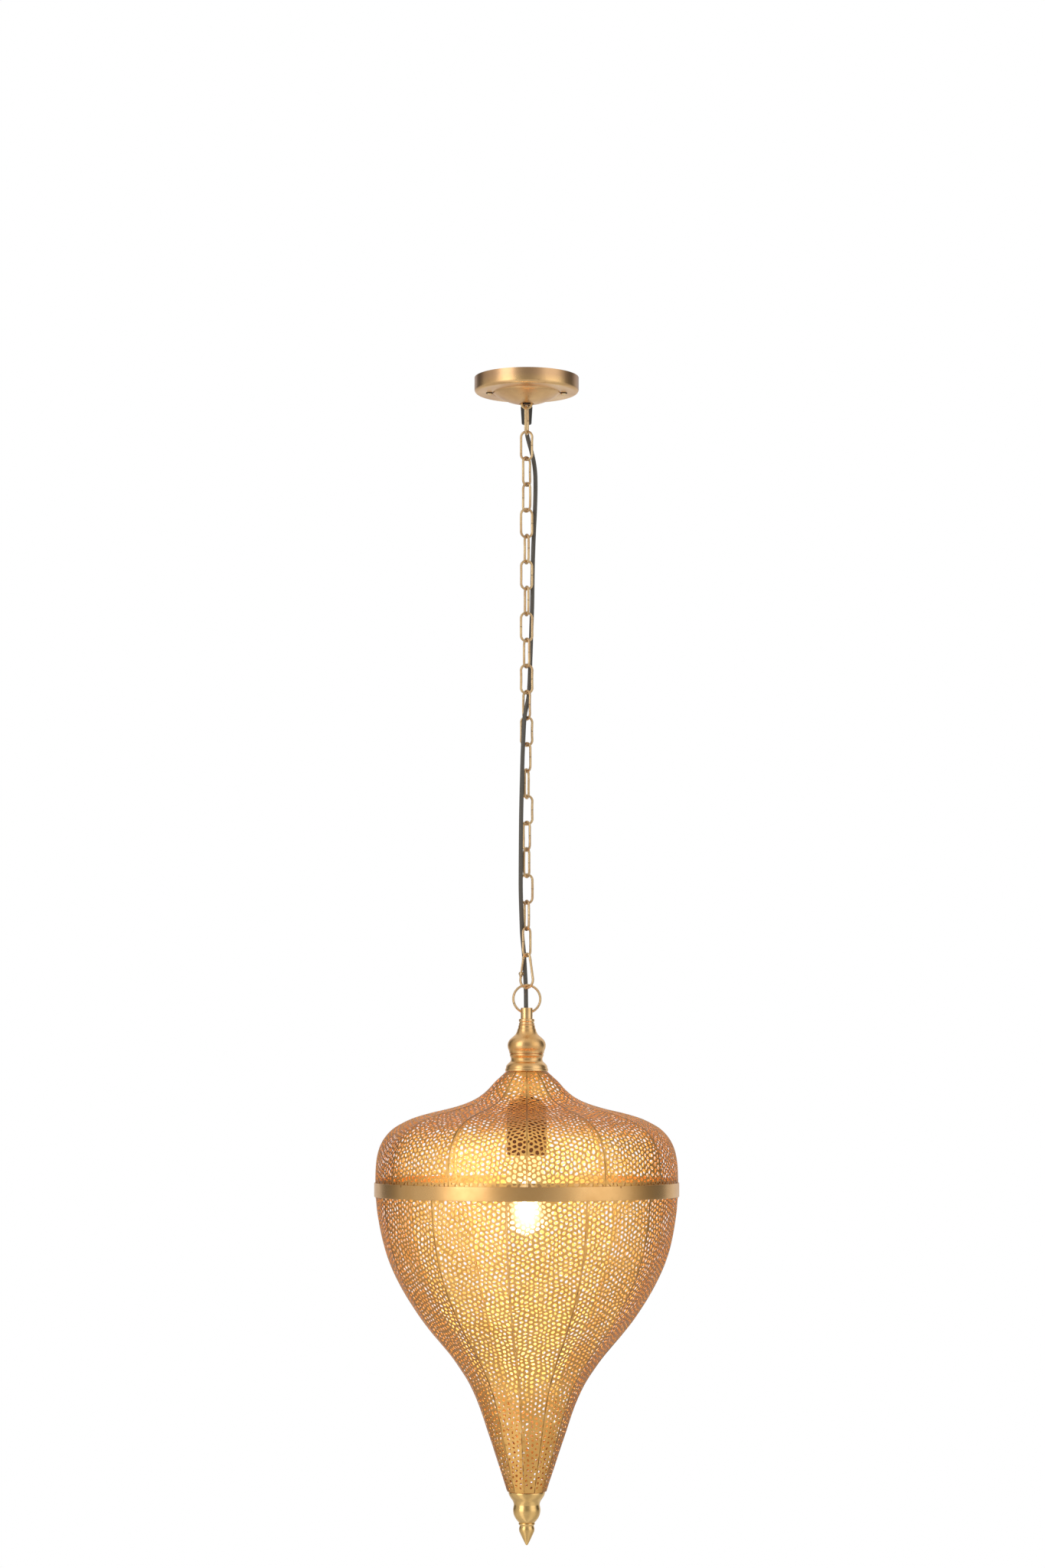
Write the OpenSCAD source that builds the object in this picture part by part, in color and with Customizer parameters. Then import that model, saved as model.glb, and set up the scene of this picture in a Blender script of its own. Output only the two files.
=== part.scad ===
// Hanging lantern: a spun brass canopy, an oval-link chain with a laced flex,
// a turned neck, and a shade of two beaten halves made of twelve gores each.
// Millimetres, +Z up. The origin is the centre of the canopy's rim, on the ceiling.

/* [Canopy] */
// Outside diameter of the canopy
canopy_d = 122.5; // [110:0.5:130]
// Height of the straight rim
canopy_rim_h = 14; // [12:0.5:16]
// Thickness of the spun brass
canopy_t = 1; // [0.8:0.1:1.2]
// Diameter of the raised dome in the middle
dome_d = 77.5; // [72:0.5:79]
// How far the dome stands out below the flat ring
dome_h = 13; // [10:0.5:14]
// Distance between the two canopy screws
screw_spacing = 87; // [86:0.5:90]

/* [Chain] */
// Wire diameter of the chain, the loop, the hook and the ring
wire_d = 2.8; // [2.6:0.1:2.8]
// Air between two wires that bear on each other
bear_gap = 0.2; // [0.2:0.05:0.3]
// Half the length of a link, to the middle of its wire
link_half = 16.8; // [16.5:0.1:17]
// Half the width of a link, to the middle of its wire
link_r = 6.6; // [6.5:0.1:7]
// Turn of each link's plane about the vertical, from the top down
link_turn = [78, -10, 52, -52, 12, -70, 15, -72, 8, -63, 5, -55, 12, -50, 70, 5, -57, 63, 0, -68, 50];

/* [Shade] */
// Outside radius of the band
band_r = 175.2; // [174.8:0.1:176]
// Height of the band
band_h = 16; // [14:0.5:17]
// Thickness of the beaten sheet and of the band
sheet_t = 0.8; // [0.7:0.1:0.9]
// Gores in each half
gores = 12; // [10:1:14]
// Angle of the first seam of the upper half
upper_seam = -90; // [-100:1:-80]
// Angle of the first seam of the lower half
lower_seam = -97.5; // [-105:0.5:-90]

// Height of the upper half against its drawn height
upper_k = 0.995; // [0.99:0.005:1]
// Height of the lower half against its drawn height
lower_k = 0.984; // [0.98:0.001:1]

/* [Flex] */
// Diameter of the flex
flex_d = 5; // [4.6:0.1:5]

/* [Hidden] */

brass = [0.72, 0.55, 0.30];
dark_brass = [0.55, 0.40, 0.20];
copper = [0.74, 0.48, 0.28];
steel = [0.62, 0.62, 0.60];
black = [0.13, 0.12, 0.11];

// Heights down the object, to the middle of each wire
bear = wire_d + bear_gap;
loop_r = 6;
loop_z = -36.3;
pitch = 2 * link_half - bear;
link1_z = loop_z + bear - link_half;
function link_z(k) = link1_z - pitch * (k - 1);
hook_top_z = link_z(21) - link_half + bear;
hook_len = 39.4;
hook_turn = -40;
hook_r1 = 5;
hook_r2 = 9.4;
hook_z2 = hook_top_z - hook_len + hook_r2;
hook_lean = asin((hook_r2 - hook_r1) / (hook_len - hook_r1 - hook_r2));
ring_r = 15.9;
ring_top_z = hook_top_z - hook_len + bear + 0.2;
ring_z = ring_top_z - ring_r;
// The ring stands this far off the axis, so that the flex passes behind it
ring_y = -0.8;
ring_turn = 12;
axis_y = 0;
tube_hole_z = ring_z - ring_r + 1.4;
tube_top_z = tube_hole_z + 4.1;
// Heights of the lantern are drawn as on a shorter chain: this lets them down to where they hang
let_down = 14.4;
flange_z = -797.6;
band_z = -941;
pin_z = -931.5;
holder_z = -826;
function hang(z) = z > flange_z ? z - let_down : z > band_z ? flange_z - let_down + upper_k * (z - flange_z)
  : flange_z - let_down + upper_k * (band_z - flange_z) + lower_k * (z - band_z);
function hung(points) = [for (p = points) [p.x, hang(p.y)]];
fn_big = 96;

// One wire bent round part of a circle in the XZ plane, from angle a to angle b
module bend(r, a, b, d = wire_d) {
  rotate([90, 0, 0]) rotate([0, 0, a]) rotate_extrude(angle = b - a, $fn = 64) translate([r, 0]) circle(d = d, $fn = 32);
}

// A straight piece of wire from point p to point q
module rod(p, q, d = wire_d) {
  v = q - p;
  l = norm(v);
  translate(p) rotate([0, acos(v.z / l), atan2(v.y, v.x)]) cylinder(d = d, h = l, $fn = 32);
}

module hex_nut(flats, bore, h) {
  difference() {
    cylinder(d = flats / cos(30), h = h, $fn = 6);
    translate([0, 0, -1]) cylinder(d = bore, h = h + 2, $fn = 48);
  }
}

// ---- ceiling end ----

// Cross strap: two slots for the ceiling screws, tapped holes for the canopy screws and the loop's legs
module ceiling_bracket() color(steel) difference() {
  translate([-53, -9, -2]) cube([106, 18, 2]);
  for (s = [-1, 1]) {
    for (e = [-1, 1]) translate([s * 26 + e * 3, 0, -3]) cylinder(r = 2.25, h = 4, $fn = 48);
    translate([s * 26 - 3, -2.25, -3]) cube([6, 4.5, 4]);
    translate([s * screw_spacing / 2, 0, -3]) cylinder(r = 2, h = 4, $fn = 48);
    translate([s * loop_r, 0, -3]) cylinder(d = wire_d, h = 4, $fn = 48);
  }
  translate([15, -5.5, -3]) cylinder(r = 1.5, h = 4, $fn = 32);
}

cap_r = ((dome_d / 2) * (dome_d / 2) + dome_h * dome_h) / (2 * dome_h);
ring_face_z = -(canopy_rim_h + 4);
// The dome's line from its edge to the central hole, set in by t
function dome_line(t) = [for (i = [0:10]) let (r = dome_d / 2 - i * (dome_d / 2 - 8) / 10)
  [r, ring_face_z - 0.5 - (sqrt((cap_r - t) * (cap_r - t) - r * r) - (cap_r - dome_h))]];
module canopy() color(brass) difference() {
  rotate_extrude($fn = fn_big) polygon(concat(
    [[canopy_d / 2, 0], [canopy_d / 2, -canopy_rim_h]],
    [for (a = [15:15:90]) [canopy_d / 2 - 4 + 4 * cos(a), -canopy_rim_h - 4 * sin(a)]],
    [[dome_d / 2 + 1.4, ring_face_z], [dome_d / 2 + 0.9, ring_face_z + 0.5], [dome_d / 2 + 0.3, ring_face_z + 0.3]],
    dome_line(0),
    [for (i = [10:-1:1]) dome_line(canopy_t)[i]],
    [[dome_d / 2 - 0.6, ring_face_z + 0.2], [dome_d / 2 + 0.2, ring_face_z + 1.4], [dome_d / 2 + 1.6, ring_face_z + 1.2]],
    [for (a = [90:-15:15]) [canopy_d / 2 - 4 + 3 * cos(a), -canopy_rim_h - 3 * sin(a)]],
    [[canopy_d / 2 - canopy_t, -canopy_rim_h], [canopy_d / 2 - canopy_t, 0]]));
  for (s = [-1, 1]) translate([s * screw_spacing / 2, 0, -30]) cylinder(r = 2.2, h = 30, $fn = 48);
  translate([0, 16, -40]) cylinder(r = 5.1, h = 40, $fn = 48);
}

module canopy_screws() color(dark_brass) for (s = [-1, 1]) translate([s * screw_spacing / 2, 0, 0]) difference() {
  union() {
    translate([0, 0, ring_face_z - 0.8]) cylinder(r = 2, h = 17.5, $fn = 48);
    translate([0, 0, ring_face_z - 0.8]) intersection() {
      translate([0, 0, 1.7]) sphere(r = 3.9, $fn = 64);
      translate([0, 0, -2.3]) cylinder(r = 3.2, h = 2.3, $fn = 64);
    }
  }
  translate([-5, -0.45, ring_face_z - 4]) cube([10, 0.9, 1.9]);
}

module screw_washers() color(black) for (s = [-1, 1]) translate([s * screw_spacing / 2, 0, ring_face_z - 0.8]) difference() {
  cylinder(r = 4.2, h = 0.8, $fn = 64);
  translate([0, 0, -1]) cylinder(r = 2.2, h = 3, $fn = 48);
}

module hanger_loop() color(brass) {
  translate([0, 0, loop_z + loop_r]) bend(loop_r, 180, 360);
  for (s = [-1, 1]) translate([s * loop_r, 0, loop_z + loop_r]) cylinder(d = wire_d, h = -(loop_z + loop_r) - 0.2, $fn = 32);
}

module loop_locknuts() color(brass) for (s = [-1, 1]) translate([s * loop_r, 0, -4.6]) hex_nut(5.5, wire_d, 2.6);

// Tapered strain relief behind the loop, with its thread through the canopy
module cord_grip() color(black) translate([0, 16, 0]) rotate_extrude($fn = 64)
  polygon([[2.6, -52.4], [5, -52.4], [5.7, -51.4], [7, -33], [7, -31.2], [5, -31.2], [5, -18], [2.6, -18]]);

module grip_nut() color(black) translate([0, 16, -25.5]) hex_nut(13, 10, 4);

module terminal_block() color([0.85, 0.84, 0.8]) difference() {
  translate([-44, 14, -14]) cube([28, 14, 11]);
  for (x = [-39.5, -30, -20.5]) {
    translate([x, 10, -8.5]) rotate([-90, 0, 0]) cylinder(r = 1.6, h = 22, $fn = 32);
    translate([x, 17.5, -15]) cylinder(r = 1.9, h = 5, $fn = 32);
    translate([x, 24.5, -15]) cylinder(r = 1.9, h = 5, $fn = 32);
  }
}

// Small brass screws: six clamping screws of the block and the earth screw of the strap
module terminal_screws() color(brass) {
  for (x = [-39.5, -30, -20.5], y = [17.5, 24.5]) translate([x, y, -13.2]) difference() {
    cylinder(r = 1.8, h = 3, $fn = 32);
    translate([-3, -0.3, -1]) cube([6, 0.6, 1.6]);
  }
  translate([15, -5.5, -5.8]) difference() {
    union() {
      cylinder(r = 1.5, h = 5.6, $fn = 32);
      cylinder(r = 3, h = 2, $fn = 48);
    }
    translate([-4, -0.4, -1]) cube([8, 0.8, 1.7]);
  }
}

// ---- flex: a tube swept along points ----

function unit(v) = v / norm(v);
function cr(p0, p1, p2, p3, t) = 0.5 * ((2 * p1) + (p2 - p0) * t + (2 * p0 - 5 * p1 + 4 * p2 - p3) * t * t + (3 * p1 - p0 - 3 * p2 + p3) * t * t * t);
function smooth(p, n) = [for (i = [0:len(p) - 2], j = [0:n - 1]) cr(p[max(i - 1, 0)], p[i], p[i + 1], p[min(i + 2, len(p) - 1)], j / n), p[len(p) - 1]];
function along(p, i) = unit(p[min(i + 1, len(p) - 1)] - p[max(i - 1, 0)]);
module sweep(p, d, sides) {
  n = len(p);
  rings = [for (i = [0:n - 1]) let (t = along(p, i), u = unit(cross(t, [0.13, 0.99, 0.05])), w = cross(t, u))
    [for (a = [0:sides - 1]) p[i] + d / 2 * (cos(360 * a / sides) * u + sin(360 * a / sides) * w)]];
  polyhedron(points = [for (r = rings, q = r) q], faces = concat(
    [[for (a = [0:sides - 1]) a]], [[for (a = [sides - 1:-1:0]) (n - 1) * sides + a]],
    [for (i = [0:n - 2], a = [0:sides - 1]) [i * sides + a, (i + 1) * sides + a, (i + 1) * sides + (a + 1) % sides, i * sides + (a + 1) % sides]]));
}

// Flex inside the canopy, from the grip up and across to the terminal block
canopy_route = [[0, 16, -38], [0, 16, -24], [-1, 16.5, -14], [-5, 19, -9], [-11, 20.5, -8.5], [-15.5, 21, -8.5]];
module canopy_cord() color(black) sweep(smooth(canopy_route, 3), flex_d, 10);

// Hanging flex: out of the grip, down behind the chain, through the twelfth link, down in
// front, round the left of the twentieth link, behind the hook and the ring, into the neck
flex_route = [[0, 16, -38], [0, 16, -52.5], [0.5, 15.8, -62], [2.5, 15.2, -71], [5.5, 14, -82], [8.4, 12, -95], [10, 10, -108], [10.4, 8.4, -122],
  [10.2, 7.6, -138], [9.6, 7.6, -156], [8.6, 8.2, -176], [7.8, 8.8, -196], [7.2, 9.2, -216], [6.8, 9.5, -240], [6.4, 9.7, -264], [5.6, 10, -286],
  [5, 10.2, -306], [4.3, 10, -326], [3.7, 9, -344], [3.1, 7, -357], [2.3, 4.2, -367.5], [0.2, 0, -378.5], [-1.9, -4.4, -389], [-3, -7, -400],
  [-3.8, -8.5, -416], [-4.6, -9.3, -434], [-5.2, -9.6, -454], [-5.8, -9.4, -478], [-6.3, -9, -502], [-6.6, -8.8, -526], [-6.8, -8.6, -550],
  [-6.9, -8, -572], [-6.9, -6.8, -588], [-6.6, -4.6, -602], [-6.2, -1.6, -615], [-5.8, 0.8, -627], [-5.3, 3, -639],
  [-4.4, 5, -649], [-3.4, 6.8, -659], [-2.6, 7.7, -670], [-1.9, 7.9, -682], [-1.3, 7.5, -694], [-0.9, 6.4, -706], [-0.8, 4.6, -717], [-0.7, 3.4, -723.5], [-0.7, 3.4, -731], [-0.4, 2, -736], [0, 0.8, -741], [0, 0.4, -748], [0, 0.4, -760]];
function flex_z(z) = z > -53 ? z : z > -665 ? loop_z + pitch / 30 * (z + 35) : loop_z - 21 * pitch + 1.025 * (z + 665);
module hanging_cord() color(black) sweep([for (p = flex_route) [p.x, p.y, flex_z(p.z)]], flex_d, 8);

// Flex inside the neck, on down through the nipple to the lampholder
neck_route = [[0, 0.4, -778], [0, 0, -790], [0, 0, -810], [0, 0, -830], [0, 0, -848], [0, 1.5, -853], [0, 4, -856]];
module neck_cord() color(black) sweep(smooth(neck_route, 2), flex_d, 10);

// ---- chain, hook and ring ----

module chain_link(k) color(brass) translate([0, 0, link_z(k)]) rotate([0, 0, link_turn[k - 1]]) {
  leg = link_half - link_r;
  translate([0, 0, leg]) bend(link_r, 0, 180);
  translate([0, 0, -leg]) bend(link_r, 180, 360);
  for (s = [-1, 1]) translate([s * link_r, 0, -leg]) cylinder(d = wire_d, h = 2 * leg, $fn = 32);
}

// Points of the hook's outline in its own plane: the gate side is -X
hook_p1 = [hook_r1 * cos(hook_lean), 0, hook_top_z - hook_r1 + hook_r1 * sin(hook_lean)];
hook_p2 = [hook_r2 * cos(hook_lean), 0, hook_z2 + hook_r2 * sin(hook_lean)];
function left(p) = [-p.x, 0, p.z];
gate_foot = left(hook_p2 + 0.22 * (hook_p1 - hook_p2));
gate_head = left(hook_p2 + 0.9 * (hook_p1 - hook_p2));
gate_dir = unit(gate_head - gate_foot);
right_dir = unit(hook_p1 - hook_p2);
module in_hook_plane() rotate([0, 0, hook_turn]) children();

module snap_hook() color(brass) in_hook_plane() difference() {
  union() {
    translate([0, 0, hook_top_z - hook_r1]) bend(hook_r1, hook_lean, 180 - hook_lean);
    rod(hook_p2 - 0.4 * right_dir, hook_p1 + 0.4 * right_dir, wire_d - 0.1);
    translate([0, 0, hook_z2]) bend(hook_r2, -180 - hook_lean, hook_lean);
    // fork for the gate's foot
    rod(left(hook_p2) - 0.4 * gate_dir, gate_foot - 2.4 * gate_dir, wire_d - 0.1);
    rod(gate_foot - 3.6 * gate_dir, gate_foot - 1.8 * gate_dir, 4.4);
    translate(gate_foot) rotate([90, 0, 0]) cylinder(r = 2.2, h = 4.2, center = true, $fn = 48);
    // nose that the gate's head shuts on
    rod(left(hook_p1) + 0.4 * gate_dir, gate_head + 0.35 * gate_dir, 3.3);
  }
  // slot of the fork, and the pin's hole
  translate(gate_foot) rotate([0, atan2(gate_dir.x, gate_dir.z), 0]) translate([-4, -1.1, -2]) cube([8, 2.2, 6]);
  translate(gate_foot) rotate([90, 0, 0]) cylinder(r = 0.6, h = 8, center = true, $fn = 32);
}

module hook_gate() color(brass) in_hook_plane() difference() {
  union() {
    rod(gate_foot, gate_foot + 3.4 * gate_dir, 1.9);
    rod(gate_foot + 2.8 * gate_dir, gate_head, 2.5);
    translate(gate_foot) rotate([90, 0, 0]) cylinder(r = 1.7, h = 1.9, center = true, $fn = 48);
  }
  translate(gate_foot) rotate([90, 0, 0]) cylinder(r = 0.65, h = 8, center = true, $fn = 32);
}

module gate_pin() color(steel) in_hook_plane() translate(gate_foot) rotate([90, 0, 0]) cylinder(r = 0.6, h = 4.4, center = true, $fn = 32);

module neck_ring() color(brass) rotate([0, 0, ring_turn]) translate([0, ring_y, ring_z]) rotate([90, 0, 0]) rotate_extrude($fn = fn_big) translate([ring_r, 0]) circle(d = wire_d, $fn = 32);

// ---- turned neck ----

module turned(points) translate([0, axis_y, 0]) rotate_extrude($fn = fn_big) polygon(hung(points));

module neck_tube() color(brass) difference() {
  rotate_extrude($fn = fn_big) polygon([[6.2, tube_top_z], [6.5, tube_top_z], [6.9, tube_top_z - 0.4], [6.9, hang(-743.4)], [6.5, hang(-743.4)], [6.5, hang(-750)], [5, hang(-750)], [5, hang(-741)], [6.2, hang(-740)]]);
  rotate([0, 0, ring_turn]) translate([0, ring_y, tube_hole_z]) rotate([0, 90, 0]) cylinder(r = 2.15, h = 20, center = true, $fn = 48);
}

module neck_collar() color(brass) turned([[6.9, -736.6], [8.2, -736.6], [9, -737.6], [9, -739.2], [8.4, -740.2], [8.4, -741.2], [9.1, -742], [9.1, -743.4], [6.9, -743.4]]);

module neck_vase() color(brass) turned([[6.5, -743.4], [9, -743.4], [9.6, -745], [9.6, -746.4], [10.4, -748.5], [11.4, -751.5], [13, -754.4], [15.8, -757], [18.8, -759.6],
  [20.8, -762.4], [21.8, -765.2], [22, -768], [21.4, -770.6], [20.4, -773.2], [20, -776.4], [5, -776.4], [5, -774], [16, -773], [18.5, -770], [18.5, -766], [16, -761.5], [11, -756.6],
  [8.5, -752], [6.5, -750.4]]);

module shade_flange() color(brass) turned([[5, -776.4], [19, -776.4], [19.4, -777.4], [19.4, -779.4], [18.4, -781], [18.2, -783.6], [19.2, -785.8], [21.6, -788], [23.4, -790.4], [24, -792.6],
  [24, -793.6], [24.6, -794.2], [24.6, flange_z + 0.6], [24, flange_z], [5, flange_z], [5, -792], [16, -791], [16, -779.5], [5, -778.8]]);

module lamp_nipple() color(brass) turned([[3.8, -741], [5, -741], [5, -833], [3.8, -833]]);

module nipple_nuts() color(brass) translate([0, axis_y, 0]) {
  translate([0, 0, hang(-799.2) - 3.6]) hex_nut(14, 10, 3.6);
  translate([0, 0, hang(-826) + 0.2]) hex_nut(14, 10, 3);
}

module shade_top_plate() color(brass) turned([[5, -797.6], [23.5, -797.6], [23.5, -799], [5, -799]]);

// ---- shade ----

// Outer lines of the two halves, radius and height
upper_line = [[24.2, -797.6], [30, -803], [36, -808.5], [44.6, -818], [52, -824.5], [61, -830], [73, -835], [90, -840], [113, -845.5], [131, -851], [143, -856.5], [153, -862.5],
  [160, -869], [165.5, -876.5], [169.5, -885], [172, -894], [173.4, -904], [174, -915], [174, -929]];
lower_line = [[174.25, -934.5], [174.25, -940.5], [173.6, -943], [172.6, -957], [170.6, -972], [168.2, -986], [165, -1000], [160.6, -1014], [155, -1028], [148.2, -1042], [140.4, -1056],
  [131.6, -1070], [121.8, -1084.5], [111, -1098.5], [98.6, -1113], [87, -1127], [77, -1141], [68, -1155], [61, -1169], [55.2, -1183], [50.2, -1197], [45.6, -1211], [40.8, -1225],
  [36, -1239.5], [31.4, -1253.5], [26.6, -1267.5], [22.6, -1280]];
// The same line set in by the sheet's thickness, along each point's normal
function inner(p, t) = [for (i = [0:len(p) - 1]) let (d = unit(p[min(i + 1, len(p) - 1)] - p[max(i - 1, 0)])) p[i] + t * [d.y, -d.x]];
function reversed(p) = [for (i = [len(p) - 1:-1:0]) p[i]];

module gore_set(line, first) translate([0, axis_y, 0]) for (i = [0:gores - 1])
  rotate([0, 0, first + i * 360 / gores + 0.06]) rotate_extrude(angle = 360 / gores - 0.12, $fn = fn_big) polygon(concat(hung(line), reversed(inner(hung(line), sheet_t))));

module upper_gores() color(copper) gore_set(upper_line, upper_seam);
module lower_gores() color(copper) gore_set(lower_line, lower_seam);

module pin_places() for (a = [-143.5, -53.5, 36.5, 126.5]) translate([0, axis_y, hang(pin_z)]) rotate([0, 0, a]) children();

// Inner collar of the upper half: an L-shaped slot for each pin of the band
module upper_rim() color(brass) difference() {
  turned([[172.2, -921], [173.1, -921], [173.1, -936.5], [172.2, -936.5]]);
  pin_places() {
    rotate([0, 0, -0.6]) rotate_extrude(angle = 7.4, $fn = fn_big) translate([165, -1.5]) square([20, 3]);
    rotate([0, 0, 5.4]) rotate_extrude(angle = 1.4, $fn = fn_big) translate([165, -8]) square([20, 8]);
  }
}

// Band round the joint, fixed to the lower half, nicked at its top edge over each pin
module band() color(brass) difference() {
  turned([[band_r - sheet_t, band_z], [band_r, band_z], [band_r, band_z + band_h], [band_r - sheet_t, band_z + band_h]]);
  pin_places() translate([170, -0.5, hang(band_z + band_h) - hang(pin_z) - 2]) cube([10, 1, 6]);
}

module band_pins() color(brass) pin_places() translate([171.2, 0, 0]) rotate([0, 90, 0]) cylinder(r = 1.2, h = band_r - sheet_t - 171.3, $fn = 32);

// ---- bottom end ----

module shade_end_plate() color(brass) turned([[3, -1279], [20.8, -1279], [20.8, -1280.2], [3, -1280.2]]);
module finial_bolt() color(brass) translate([0, axis_y, 0]) {
  translate([0, 0, hang(-1279)]) cylinder(d = 10 / cos(30), h = 4, $fn = 6);
  translate([0, 0, hang(-1322)]) cylinder(r = 3, h = hang(-1278) - hang(-1322), $fn = 64);
}
module finial_cup() color(brass) turned([[3, -1280.2], [22, -1280.2], [22.4, -1281], [22.4, -1282.6], [21.6, -1283.6], [20.4, -1285.6], [18, -1288.2], [16, -1291], [15, -1293.6], [14.8, -1295.6],
  [15.2, -1297.6], [15.6, -1300.4], [15.4, -1303.4], [14.8, -1306.6], [13.6, -1309.8], [11.8, -1312.6], [9.8, -1315], [9, -1316], [3, -1316]]);
module finial_tip() color(brass) difference() {
  turned([[0, -1316], [9.2, -1316], [9.4, -1317.4], [8.4, -1318.6], [8, -1319.6], [8.6, -1321.4], [8.8, -1323.8], [8.4, -1326.2], [7.2, -1329], [5.8, -1332], [4.2, -1335.4], [2.4, -1338.8], [1, -1341.2], [0, -1342]]);
  translate([0, axis_y, hang(-1322)]) cylinder(r = 3, h = 10, $fn = 48);
}

// ---- lamp ----

module lampholder_cap() color([0.18, 0.15, 0.12]) turned([[5, holder_z], [9, holder_z], [9, holder_z - 2], [14, holder_z - 3.2], [18.6, holder_z - 6.2], [21.6, holder_z - 10.4], [22.6, holder_z - 15],
  [22.6, holder_z - 19], [21.2, holder_z - 19], [21.2, holder_z - 15], [20, holder_z - 11], [17.4, holder_z - 7.6], [13, holder_z - 4.8], [8, holder_z - 3.6], [5, holder_z - 3.6]]);
module lampholder_sleeve() color([0.18, 0.15, 0.12]) turned([[21.2, holder_z - 19.2], [22.6, holder_z - 19.2], [22.6, holder_z - 66], [22.2, holder_z - 67.5], [20.8, holder_z - 67.5], [21.2, holder_z - 66]]);
module socket_insert() color([0.9, 0.9, 0.86]) turned([[3, holder_z - 20], [20.8, holder_z - 20], [20.8, holder_z - 30], [19.6, holder_z - 31], [19.6, holder_z - 64], [14.6, holder_z - 64], [14.6, holder_z - 35], [3, holder_z - 35]]);
// Threaded shell and, apart from it, the centre contact
module socket_contacts() color(brass) {
  turned([[14.1, holder_z - 36], [14.6, holder_z - 36], [14.6, holder_z - 60], [14.1, holder_z - 60]]);
  turned([[0, holder_z - 24], [3, holder_z - 24], [3, holder_z - 36], [0, holder_z - 36]]);
}
bulb_z = holder_z - 36;
module bulb_cap() color([0.75, 0.74, 0.7]) turned([[0, bulb_z], [4, bulb_z], [5, bulb_z - 2], [11.5, bulb_z - 4.6], [13.4, bulb_z - 6], [13.4, bulb_z - 27], [0, bulb_z - 27]]);
bulb_r = 30;
bulb_c = -954;
module bulb_glass() color([1, 0.96, 0.85, 0.7]) turned(concat([[0, bulb_z - 27.1], [13, bulb_z - 27.1], [13.6, bulb_z - 31], [14.8, bulb_z - 37], [17.4, bulb_z - 45], [21, bulb_z - 54], [24, bulb_z - 61]],
  [for (a = [28:-13:-76]) [bulb_r * cos(a), bulb_c + bulb_r * sin(a)]], [[0, bulb_c - bulb_r]]));

ceiling_bracket();
canopy();
canopy_screws();
screw_washers();
hanger_loop();
loop_locknuts();
cord_grip();
grip_nut();
terminal_block();
terminal_screws();
canopy_cord();
chain_link(1);  // chain_link_01
chain_link(2);  // chain_link_02
chain_link(3);  // chain_link_03
chain_link(4);  // chain_link_04
chain_link(5);  // chain_link_05
chain_link(6);  // chain_link_06
chain_link(7);  // chain_link_07
chain_link(8);  // chain_link_08
chain_link(9);  // chain_link_09
chain_link(10);  // chain_link_10
chain_link(11);  // chain_link_11
chain_link(12);  // chain_link_12
chain_link(13);  // chain_link_13
chain_link(14);  // chain_link_14
chain_link(15);  // chain_link_15
chain_link(16);  // chain_link_16
chain_link(17);  // chain_link_17
chain_link(18);  // chain_link_18
chain_link(19);  // chain_link_19
chain_link(20);  // chain_link_20
chain_link(21);  // chain_link_21
snap_hook();
hook_gate();
gate_pin();
neck_ring();
neck_tube();
neck_collar();
neck_vase();
shade_flange();
lamp_nipple();
nipple_nuts();
shade_top_plate();
upper_gores();
upper_rim();
band();
band_pins();
lower_gores();
shade_end_plate();
finial_bolt();
finial_cup();
finial_tip();
lampholder_cap();
lampholder_sleeve();
socket_insert();
socket_contacts();
bulb_cap();
bulb_glass();
hanging_cord();
neck_cord();
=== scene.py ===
import math, random
import bpy
import numpy as np
from mathutils import Vector, Matrix


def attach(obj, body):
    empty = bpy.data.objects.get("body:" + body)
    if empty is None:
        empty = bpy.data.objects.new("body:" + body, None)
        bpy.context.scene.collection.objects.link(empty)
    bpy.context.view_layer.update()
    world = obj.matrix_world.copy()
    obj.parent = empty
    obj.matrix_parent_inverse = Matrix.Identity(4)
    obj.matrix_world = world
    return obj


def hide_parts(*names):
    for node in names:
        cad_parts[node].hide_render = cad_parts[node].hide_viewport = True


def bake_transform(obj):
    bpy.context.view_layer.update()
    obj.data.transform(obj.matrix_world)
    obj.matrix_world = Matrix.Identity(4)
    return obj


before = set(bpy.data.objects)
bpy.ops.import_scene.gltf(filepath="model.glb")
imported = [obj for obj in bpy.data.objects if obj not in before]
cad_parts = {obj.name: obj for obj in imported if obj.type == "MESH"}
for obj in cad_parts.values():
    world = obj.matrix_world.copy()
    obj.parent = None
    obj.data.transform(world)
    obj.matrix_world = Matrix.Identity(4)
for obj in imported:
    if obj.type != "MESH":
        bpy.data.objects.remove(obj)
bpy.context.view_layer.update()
MM = 0.001
TAU = 2 * math.pi
rng = np.random.default_rng(7)

# ------------------------------------------------------------------ materials


def new_mat(name):
    m = bpy.data.materials.new(name)
    m.use_nodes = True
    nt = m.node_tree
    b = nt.nodes["Principled BSDF"]
    return m, nt, b


def node(nt, kind, **kw):
    n = nt.nodes.new(kind)
    for k, v in kw.items():
        setattr(n, k, v)
    return n


def ramp(nt, stops, interp="LINEAR"):
    r = nt.nodes.new("ShaderNodeValToRGB")
    r.color_ramp.interpolation = interp
    e = r.color_ramp.elements
    while len(e) > 1:
        e.remove(e[-1])
    e[0].position = stops[0][0]
    e[0].color = (*stops[0][1], 1)
    for p, c in stops[1:]:
        x = e.new(p)
        x.color = (*c, 1)
    return r


def coords(nt, scale=(1, 1, 1)):
    g = nt.nodes.new("ShaderNodeNewGeometry")
    t = nt.nodes.new("ShaderNodeTexCoord")
    m = nt.nodes.new("ShaderNodeMapping")
    m.inputs["Scale"].default_value = scale
    nt.links.new(t.outputs["Object"], m.inputs["Vector"])
    return m.outputs["Vector"]


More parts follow.
